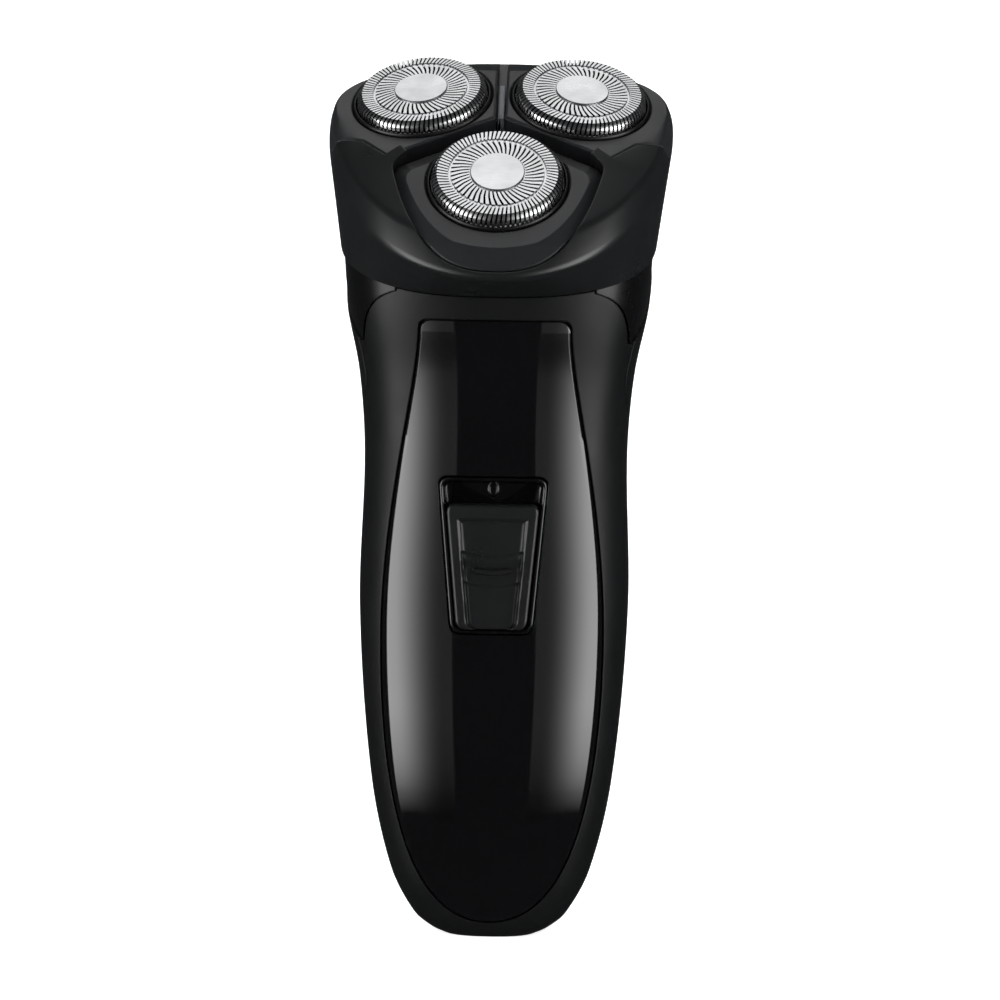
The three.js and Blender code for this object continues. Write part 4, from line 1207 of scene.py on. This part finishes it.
class ShaverStep(bpy.types.Operator):
    """One step in the making of the shaver."""

    bl_idname = "shaver.step"
    bl_label = "Shaver step"
    bl_options = {"REGISTER", "UNDO"}

    def execute(self, context):
        self.make(context.scene.shaver_size)
        return {"FINISHED"}

    def make(self, sizes):
        raise NotImplementedError("each step makes its own pieces")


class SHAVER_OT_shells(ShaverStep):
    """Makes the two shells of the handle and the collar."""

    bl_idname = "shaver.shells"
    bl_label = "Shells and collar"

    def make(self, sizes):
        finished(shaded(front_shell()), finish_of("shell"), "handle", "matte_black", "front_shell")
        finished(shaded(rear_shell()), finish_of("shell"), "handle", "matte_black", "rear_shell")
        finished(shaded(collar()), finish_of("collar"), "handle", "gloss_black", "collar")


class SHAVER_OT_front_panel(ShaverStep):
    """Makes the polished front panel."""

    bl_idname = "shaver.front_panel"
    bl_label = "Front panel"

    def make(self, sizes):
        panel = shaded(front_panel(sizes.panel_lip / MM), 18)
        finished(panel, finish_of("gloss"), "handle", "gloss_black", "front_panel")


class SHAVER_OT_switch(ShaverStep):
    """Makes the switch's tray, thumb button and grip bar."""

    bl_idname = "shaver.switch"
    bl_label = "Slide switch"

    def make(self, sizes):
        bezel = joined(switch_bezel(), position_mark())
        finished(shaded(bezel, 50), finish_of("gloss"), "handle", "gloss_black", "switch_bezel")
        finished(shaded(switch_button(), 60), finish_of("head"), "switch", "satin_black", "switch_button")
        finished(shaded(grip_bar(), 60), finish_of("head"), "switch", "satin_black", "switch_grip")


class SHAVER_OT_head_housing(ShaverStep):
    """Makes the head housing and the pale bar in its rear groove."""

    bl_idname = "shaver.head_housing"
    bl_label = "Head housing"

    def make(self, sizes):
        finished(shaded(head_housing(), 30), finish_of("head"), "head", "satin_black", "head_housing")
        finished(shaded(groove_bar()), finish_of("bar"), "head", "grey_plastic", "groove_bar")


class SHAVER_OT_petals(ShaverStep):
    """Makes the three petals and the dark rings that they carry."""

    bl_idname = "shaver.petals"
    bl_label = "Petals"

    def make(self, sizes):
        for side in SIDES:
            plate = shaded(petal(side, sizes.chamfer / MM), 20)
            finished(plate, finish_of("petal"), "petal_" + side, "petal_grey", "petal_" + side)
            ring = shaded(cap_holder(side), 40)
            finished(ring, finish_of("ring"), "petal_" + side, "satin_black", "cap_holder_" + side)


class SHAVER_OT_guard_caps(ShaverStep):
    """Makes the three slotted guard caps and their round badges."""

    bl_idname = "shaver.guard_caps"
    bl_label = "Guard caps"

    def make(self, sizes):
        tree = ring_tree()
        steel = finish_of("guard")
        for side in SIDES:
            cap = shaded(guard_cap(side, tree, sizes, steel), 30)
            finished(cap, steel, "cap_" + side, "bright_steel", "guard_cap_" + side)
            disc = shaded(cap_disc(side), 30)
            finished(disc, finish_of("disc"), "cap_" + side, "bright_steel", "cap_disc_" + side)


INNER_FINISHES = {
    "zinc": ("case_screw", "motor", "motor_screw"),
    "brass": ("slide_contact", "battery_tab", "inlet_pin", "drive_pinion"),
    "board": ("circuit_board",),
    "cell": ("battery",),
    "grey": ("drive_deck", "retaining_frame", "switch_carriage"),
    "acetal": ("drive_gear", "drive_spindle", "lock_knob"),
    # The gear cover gets near-black steel as painted shade inside the head.
    "inside": ("gear_cover",),
    "ring": ("charge_inlet",),
    # The cutters get near-black steel as painted shade under the guard.
    "cutter": ("cutter",),
}


def inner_finish(node):
    """The finish of a CAD node that stays in view, by the longest name that it starts with."""
    found = [(len(start), finish) for finish, starts in INNER_FINISHES.items()
             for start in starts if node.startswith(start)]
    if not found:
        raise RuntimeError("no finish for node " + node)
    return finish_of(max(found)[1])


class SHAVER_OT_inner_parts(ShaverStep):
    """Gives the drive, the battery, the board and the other parts inside their finishes."""

    bl_idname = "shaver.inner_parts"
    bl_label = "Inner parts"

    def make(self, sizes):
        for name, obj in frame["nodes"].items():
            if obj.hide_render:
                continue
            for slot in obj.material_slots:
                slot.material = inner_finish(name)


# ---------------------------------------------------------------- stage

CAMERA_DISTANCE = 0.9
CAMERA_ELEVATION = 6.0
CAMERA_AZIMUTH = 1.4
CAMERA_ROLL = 0.8
VIEW_WIDTH = 0.1818
TOP_LAMP = {"azimuth": 180, "elevation": 78, "distance": 1.3, "width": 1.0, "depth": 1.1, "watts": 4.6}
# Soft box beside the camera: degrees off the camera's side, degrees of elevation, and metres.
SOFT_BOX = {"near": 15.0, "far": 80.0, "low": -25.0, "high": 20.0, "distance": 1.2, "glow": 6.5}
LOOK_AT = Vector((0.0009, 0.0, 0.0797))


def studio_white(finish):
    """Matte painted backdrop with a faint roller texture and a little glow of its own."""
    made, tree, shader = new_material("matte white paint")
    base = tuple(finish.floor)
    mottle = noise(tree, object_grid(tree), 30.0, 4.0)
    tree.links.new(tones(tree, mottle, shade(base, 0.985), base), shader.inputs["Base Color"])
    tree.links.new(relief(tree, mottle, 0.2, 0.1), shader.inputs["Normal"])
    shader.inputs["Roughness"].default_value = 0.8
    shader.inputs["Emission Color"].default_value = (1, 1, 1, 1)
    shader.inputs["Emission Strength"].default_value = 0.75
    return made


def backdrop():
    """Round floor that curves up into a wall on every side."""
    bend, reach, height = 0.6, 2.6, 2.4
    profile = [(0.02, 0.0), (0.5, 0.0), (1.0, 0.0), (reach - bend, 0.0)]
    for i in range(1, 13):
        angle = math.pi / 2 * i / 12
        profile.append((reach - bend + bend * math.sin(angle), bend * (1 - math.cos(angle))))
    profile.append((reach, height))
    rings = [turned_ring(radius / MM, h / MM, 96) for radius, h in profile]
    size = len(rings[0])
    points = [p for ring in rings for p in ring]
    faces = [tuple(range(size))]
    for r in range(len(rings) - 1):
        for i in range(size):
            j = (i + 1) % size
            faces.append((r * size + i, (r + 1) * size + i, (r + 1) * size + j, r * size + j))
    floor = object_of("floor", points, faces, axis=0.0)
    for polygon in floor.data.polygons:
        polygon.use_smooth = True
    floor.data.materials.append(studio_white(bpy.context.scene.shaver_finish))
    # The polished panel mirrors only the lamps and the dark room, as on a photographer's table.
    floor.visible_glossy = False


def towards(azimuth, elevation):
    """Direction from the object; azimuth 0 is the camera's side and 90 is to the right."""
    angle, rise = math.radians(azimuth), math.radians(elevation)
    return Vector((math.sin(angle) * math.cos(rise), -math.cos(angle) * math.cos(rise), math.sin(rise)))


def diffuser_glow():
    """Lit diffuser cloth of a soft box: its strength is the mesh's own glow value."""
    made = bpy.data.materials.new("lit diffuser cloth")
    made.use_nodes = True
    tree = made.node_tree
    tree.nodes.clear()
    glow = add_node(tree, "ShaderNodeAttribute", attribute_name="glow").outputs["Fac"]
    light = add_node(tree, "ShaderNodeEmission", {"Strength": glow, "Color": (1, 1, 1, 1)})
    add_node(tree, "ShaderNodeOutputMaterial", {"Surface": light.outputs[0]})
    return made


def smooth_step(value):
    """Rises from 0 to 1 with level ends."""
    value = min(max(value, 0.0), 1.0)
    return value * value * (3 - 2 * value)


def soft_box(name, sign, cloth, columns=24, rows=14):
    """Curved soft box beside the camera, bright at its far edge and fading inwards and at its ends."""
    near, far, low, high = (SOFT_BOX[key] for key in ("near", "far", "low", "high"))
    points, faces, glow = [], [], []
    for r in range(rows + 1):
        v = r / rows
        for c in range(columns + 1):
            u = c / columns
            away = towards(sign * (near + (far - near) * u), low + (high - low) * v)
            points.append(LOOK_AT + away * SOFT_BOX["distance"])
            ends = smooth_step(v / 0.22) * smooth_step((1 - v) / 0.3)
            inwards = 0.05 + 0.95 * smooth_step((u - 0.05) / 0.75) ** 1.3
            glow.append(SOFT_BOX["glow"] * ends * inwards)
    width = columns + 1
    for r in range(rows):
        for c in range(columns):
            corner = r * width + c
            face = (corner, corner + 1, corner + 1 + width, corner + width)
            faces.append(face if sign > 0 else tuple(reversed(face)))
    mesh = bpy.data.meshes.new(name)
    mesh.from_pydata([tuple(p) for p in points], [], faces)
    mesh.attributes.new("glow", "FLOAT", "POINT").data.foreach_set("value", glow)
    box = bpy.data.objects.new(name, mesh)
    box.data.materials.append(cloth)
    box.visible_camera = False
    bpy.context.scene.collection.objects.link(box)


def top_light():
    """Overhead lamp, a little behind, that the guard caps mirror."""
    data = bpy.data.lights.new("top", "AREA")
    data.shape = "RECTANGLE"
    data.size, data.size_y = TOP_LAMP["width"], TOP_LAMP["depth"]
    data.energy = TOP_LAMP["watts"]
    lamp = bpy.data.objects.new("top", data)
    away = towards(TOP_LAMP["azimuth"], TOP_LAMP["elevation"])
    lamp.location = LOOK_AT + away * TOP_LAMP["distance"]
    lamp.rotation_euler = away.to_track_quat("Z", "Y").to_euler()
    bpy.context.scene.collection.objects.link(lamp)


def dark_room():
    """The room beyond the backdrop, dim enough for black mirrors."""
    world = bpy.data.worlds.new("dark room")
    world.use_nodes = True
    background = world.node_tree.nodes["Background"]
    background.inputs["Color"].default_value = (0.9, 0.95, 1.0, 1)
    background.inputs["Strength"].default_value = 0.04
    bpy.context.scene.world = world


def camera():
    """A long lens, a little above the switch and turned slightly to one side."""
    data = bpy.data.cameras.new("camera")
    data.sensor_width = 36.0
    data.lens = 36.0 * CAMERA_DISTANCE / VIEW_WIDTH
    data.clip_start, data.clip_end = 0.05, 20.0
    seen = bpy.data.objects.new("camera", data)
    away = towards(CAMERA_AZIMUTH, CAMERA_ELEVATION)
    seen.location = LOOK_AT + away * CAMERA_DISTANCE
    turn = away.to_track_quat("Z", "Y").to_matrix() @ Matrix.Rotation(math.radians(CAMERA_ROLL), 3, "Z")
    seen.rotation_euler = turn.to_euler()
    bpy.context.scene.collection.objects.link(seen)
    bpy.context.scene.camera = seen


class SHAVER_OT_stage(ShaverStep):
    """Sets up the floor, the soft boxes, the dim room and the camera."""

    bl_idname = "shaver.stage"
    bl_label = "Studio"

    def make(self, sizes):
        backdrop()
        dark_room()
        cloth = diffuser_glow()
        soft_box("soft_box_left", -1, cloth)
        soft_box("soft_box_right", 1, cloth)
        top_light()
        camera()


# ---------------------------------------------------------------- panel and registration

STEPS = (
    SHAVER_OT_shells,
    SHAVER_OT_front_panel,
    SHAVER_OT_switch,
    SHAVER_OT_head_housing,
    SHAVER_OT_petals,
    SHAVER_OT_guard_caps,
    SHAVER_OT_inner_parts,
    SHAVER_OT_stage,
)


class SHAVER_PT_steps(bpy.types.Panel):
    """Lists the steps, the colours and the sizes in the 3D view's sidebar."""

    bl_idname = "SHAVER_PT_steps"
    bl_label = "Rotary shaver"
    bl_space_type = "VIEW_3D"
    bl_region_type = "UI"
    bl_category = "Shaver"

    def draw(self, context):
        column = self.layout.column(align=True)
        for step in STEPS:
            column.operator(step.bl_idname)
        for group in (context.scene.shaver_size, context.scene.shaver_finish):
            for name in group.__annotations__:
                column.prop(group, name)


CLASSES = (ShaverFinish, ShaverSize, *STEPS, SHAVER_PT_steps)


def register():
    for each in CLASSES:
        bpy.utils.register_class(each)
    bpy.types.Scene.shaver_finish = bpy.props.PointerProperty(type=ShaverFinish)
    bpy.types.Scene.shaver_size = bpy.props.PointerProperty(type=ShaverSize)


def unregister():
    del bpy.types.Scene.shaver_size
    del bpy.types.Scene.shaver_finish
    for each in reversed(CLASSES):
        bpy.utils.unregister_class(each)


def main():
    register()
    bpy.context.scene.view_settings.view_transform = "Standard"
    for step in STEPS:
        group, name = step.bl_idname.split(".")
        getattr(getattr(bpy.ops, group), name)()


if __name__ == "__main__":
    main()
